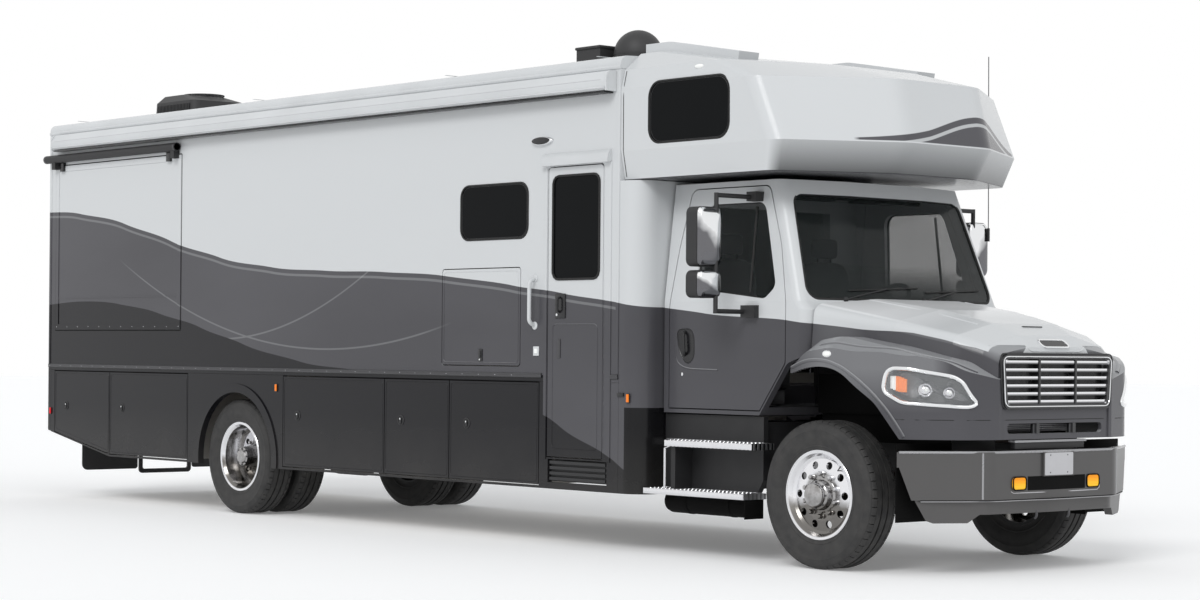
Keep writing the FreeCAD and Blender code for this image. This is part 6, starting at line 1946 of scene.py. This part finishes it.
def button_form():
    form = Shape("button")
    form.ring([(-0.001, 0.0085), (0.0022, 0.0090), (0.0026, 0.0105), (0.0022, 0.0125), (-0.001, 0.0135)],
              (0, 0, 0), (0, 0, 1), 14)
    return form


def make_chassis():
    gear = Shape("chassis_fittings", "cast", "frame_black", "dark_metal")
    for axle, top in ((FRONT_AXLE, 0.545), (REAR_AXLE, 0.605)):
        for side in (RIGHT, LEFT):
            for x in (axle - 0.06, axle + 0.06):
                gear.tube(arc_through([(x, 0.352 * side, top - 0.19), (x, 0.352 * side, top + 0.02),
                                       (x, 0.433 * side, top + 0.02), (x, 0.433 * side, top - 0.19)],
                                      0.015), 0.008, 8, 2)
            for number in range(3):
                reach = 0.50 - number * 0.13
                foot = top - 0.048 - number * 0.011
                gear.block((axle - reach, 0.358 * side, foot - 0.010),
                           (axle + reach, 0.428 * side, foot), 0.002, 0)
    for x0, x1 in ((3.00, 3.05), (3.35, 3.40), (3.68, 3.73)):
        for side in (RIGHT, LEFT):
            gear.block((x0, 0.955 * side, 0.51), (x1, 0.964 * side, 0.95), 0.001, 2)
    for x in (-1.0, 1.2):
        gear.lathe([(0, 0.0), (0, 0.10), (0.01, 0.125), (0.62, 0.125), (0.63, 0.10), (0.63, 0.0)],
                   (x, -0.25, 0.79), (1, 0, 0), 28, 1)
    gear.build("coach", "cast_iron")


def make_engine():
    """Radiator, fan ring, air cleaner, hoses and covers round the engine block."""
    gear = Shape("engine_fittings", "frame_black", "dark_metal", "rubber", "plastic", "brushed", "cast",
                 "pitch_black")
    gear.block((5.300, -0.42, 0.93), (5.345, 0.42, 1.50), 0.006, 1)
    for side in (RIGHT, LEFT):
        gear.block((5.330, 0.455 * side, 0.915), (5.338, 0.84 * side, 1.34), 0.002, 3)
        # near-black sheets inboard of the front wheels: liners that also stand for the shade in the wheel
        # wells
        for y, foot, head in ((0.640, 1.03, 1.30), (0.600, 0.84, 1.04)):
            gear.block((4.02, y * side, foot), (5.18, (y + 0.006) * side, head), 0.002, 6)
    gear.block((5.290, -0.46, 0.93), (5.352, -0.42, 1.50), 0.008, 3)
    gear.block((5.290, 0.42, 0.93), (5.352, 0.46, 1.50), 0.008, 3)
    gear.ring([(0, 0.27), (0.06, 0.27), (0.06, 0.285), (0, 0.285)], (5.225, 0, 1.20), (1, 0, 0), 48, 3)
    for y in (-0.14, 0.14):
        gear.block((4.42, y - 0.085, 1.400), (5.10, y + 0.085, 1.455), 0.014, 5)
    for x in (4.50, 4.66, 4.82, 4.98):
        for y in (-0.14, 0.14):
            gear.lathe([(0, 0.011), (0.012, 0.011), (0.013, 0.0)], (x, y, 1.454), (0, 0, 1), 6, 1)
    gear.lathe([(0, 0.0), (0, 0.115), (0.02, 0.135), (0.40, 0.135), (0.42, 0.115), (0.42, 0.0)],
               (4.42, -0.50, 1.33), (1, 0, 0), 32, 3)
    gear.tube(arc_through([(4.84, -0.50, 1.33), (5.02, -0.50, 1.33), (5.04, -0.30, 1.38),
                           (4.98, -0.18, 1.40)], 0.07), 0.045, 14, 2)
    gear.tube(arc_through([(5.29, 0.30, 1.40), (5.18, 0.30, 1.43), (5.10, 0.20, 1.40), (5.06, 0.20, 1.30)],
                          0.05), 0.028, 12, 2)
    gear.block((4.40, 0.40, 1.16), (4.66, 0.62, 1.36), 0.02, 3)
    gear.tube([(4.44, 0.51, 1.35), (4.44, 0.51, 1.40)], 0.03, 14, 1)
    gear.build("coach", "cast_iron")
    fin = Shape("fin")
    fin.block((-0.0005, -0.40, -0.0008), (0.006, 0.40, 0.0008), 0)
    solid_copies("radiator_fins", rows_tree(), fin, "brushed", "coach", "cast_iron", Count=44, Per_Row=1,
                 Start=(5.345, 0, 0.95), Row_Step=(0, 0, 0.0122))
    blade = Shape("blade")
    blade.block((-0.02, -0.035, 0.05), (-0.012, 0.035, 0.25), 0.002, turn=Matrix.Rotation(0.5, 3, "Z"))
    solid_copies("fan_blades", ring_tree(), blade, "plastic", "coach", "black_plastic", Count=9,
                 Centre=(5.245, 0, 1.20), Axis=(1, 0, 0), Arm=(0, 0, 0))


class MOTORHOME_OT_underside(bpy.types.Operator):
    """Make the step trim, tread buttons, air tanks, spring clamps and engine fittings"""

    bl_idname = "motorhome.underside"
    bl_label = "Dress the steps, underside and engine"

    def execute(self, context):
        make_steps()
        make_chassis()
        make_engine()
        return {"FINISHED"}


# ------------------------------------------------------------------------------------ stage
def studio_floor_finish():
    """Plain pale floor with a faint light of its own, which keeps its shadow soft."""
    finish = Finish("studio_floor", Roughness=0.9)
    grain = finish.noise(0.6, 2.0)
    finish.set("Base Color", finish.mix(grain, (0.93, 0.93, 0.93), (0.95, 0.95, 0.95)))
    finish.set("Emission Color", (1.0, 1.0, 1.0))
    finish.set("Emission Strength", 0.15)
    return finish.material


def make_sky(scene):
    """Even sky, white to the camera and in reflections and glass."""
    world = bpy.data.worlds.new("studio_sky")
    scene.world = world
    world.use_nodes = True
    sky = NodeTree(world.node_tree)
    sky.tree.nodes.clear()
    camera, glossy, through = (sky.add("ShaderNodeLightPath", output="Is %s Ray" % kind)
                               for kind in ("Camera", "Glossy", "Transmission"))
    light = sky.add("ShaderNodeBackground", values={0: (0.96, 0.98, 1.0, 1.0), 1: 0.60})
    back = sky.add("ShaderNodeBackground", values={0: (1.0, 1.0, 1.0, 1.0), 1: 1.0})
    blend = sky.add("ShaderNodeMixShader", values={0: camera.larger(through.larger(glossy)), 1: light,
                                                   2: back})
    sky.add("ShaderNodeOutputWorld", values={"Surface": blend})


class MOTORHOME_OT_stage(bpy.types.Operator):
    """Make the floor, the lights and the camera"""

    bl_idname = "motorhome.stage"
    bl_label = "Set the studio"

    def execute(self, context):
        settings = stage_settings()
        scene = context.scene
        scene.view_settings.view_transform = "Standard"
        camera = bpy.data.cameras.new("camera")
        camera.lens, camera.sensor_width = settings.focal, 36.0
        camera.shift_x, camera.shift_y = 0.0396, 0.0408
        camera.clip_start, camera.clip_end = 0.1, 300.0
        eye = bpy.data.objects.new("camera", camera)
        look = Matrix.Rotation(settings.heading, 4, "Z") @ Matrix.Rotation(math.radians(90.02), 4, "X")
        roll = Matrix.Rotation(settings.roll, 4, "Z")
        eye.matrix_world = Matrix.Translation(settings.station) @ look @ roll
        scene.collection.objects.link(eye)
        scene.camera = eye

        floor = bpy.data.meshes.new("floor")
        reach = 90.0
        corners = [(-reach, -reach, 0), (reach, -reach, 0), (reach, reach, 0), (-reach, reach, 0)]
        floor.from_pydata(corners, [], [(0, 1, 2, 3)])
        ground = bpy.data.objects.new("studio_floor", floor)
        scene.collection.objects.link(ground)
        floor.materials.append(studio_floor_finish())

        make_sky(scene)
        for name, heading, height, spread, power in (
                ("key_sun", -64.0, 38.0, 24.0, 1.25), ("front_sun", -8.0, 30.0, 40.0, 0.22)):
            lamp = bpy.data.lights.new(name, "SUN")
            lamp.energy, lamp.angle = power, math.radians(spread)
            held = bpy.data.objects.new(name, lamp)
            held.location = (0, 0, 20)
            toward = Vector((math.cos(math.radians(heading)), math.sin(math.radians(heading)),
                             math.tan(math.radians(height))))
            held.rotation_mode = "QUATERNION"
            held.rotation_quaternion = (-toward).to_track_quat("-Z", "Y")
            scene.collection.objects.link(held)
        return {"FINISHED"}


# ------------------------------------------------------------------------------------ panel
STEPS = ("finishes", "wheels", "front", "cab", "house", "roof", "underside", "stage")


class MOTORHOME_PT_panel(bpy.types.Panel):
    """Lists the operators in the order in which they run"""

    bl_label = "Motorhome"
    bl_idname = "MOTORHOME_PT_panel"
    bl_space_type = "VIEW_3D"
    bl_region_type = "UI"
    bl_category = "Motorhome"

    def draw(self, context):
        for step in STEPS:
            self.layout.operator("motorhome." + step)


CLASSES = (
    MotorhomePaint, MotorhomeSizes, MotorhomeStage,
    MOTORHOME_OT_finishes, MOTORHOME_OT_wheels, MOTORHOME_OT_front, MOTORHOME_OT_cab,
    MOTORHOME_OT_house, MOTORHOME_OT_roof, MOTORHOME_OT_underside, MOTORHOME_OT_stage,
    MOTORHOME_PT_panel,
)


def register():
    for cls in CLASSES:
        bpy.utils.register_class(cls)
    bpy.types.Scene.motorhome_paint = PointerProperty(type=MotorhomePaint)
    bpy.types.Scene.motorhome_sizes = PointerProperty(type=MotorhomeSizes)
    bpy.types.Scene.motorhome_stage = PointerProperty(type=MotorhomeStage)


def unregister():
    del bpy.types.Scene.motorhome_stage
    del bpy.types.Scene.motorhome_sizes
    del bpy.types.Scene.motorhome_paint
    for cls in reversed(CLASSES):
        bpy.utils.unregister_class(cls)


def main():
    """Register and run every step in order."""
    register()
    for step in STEPS:
        getattr(bpy.ops.motorhome, step)()


if __name__ == "__main__":
    main()
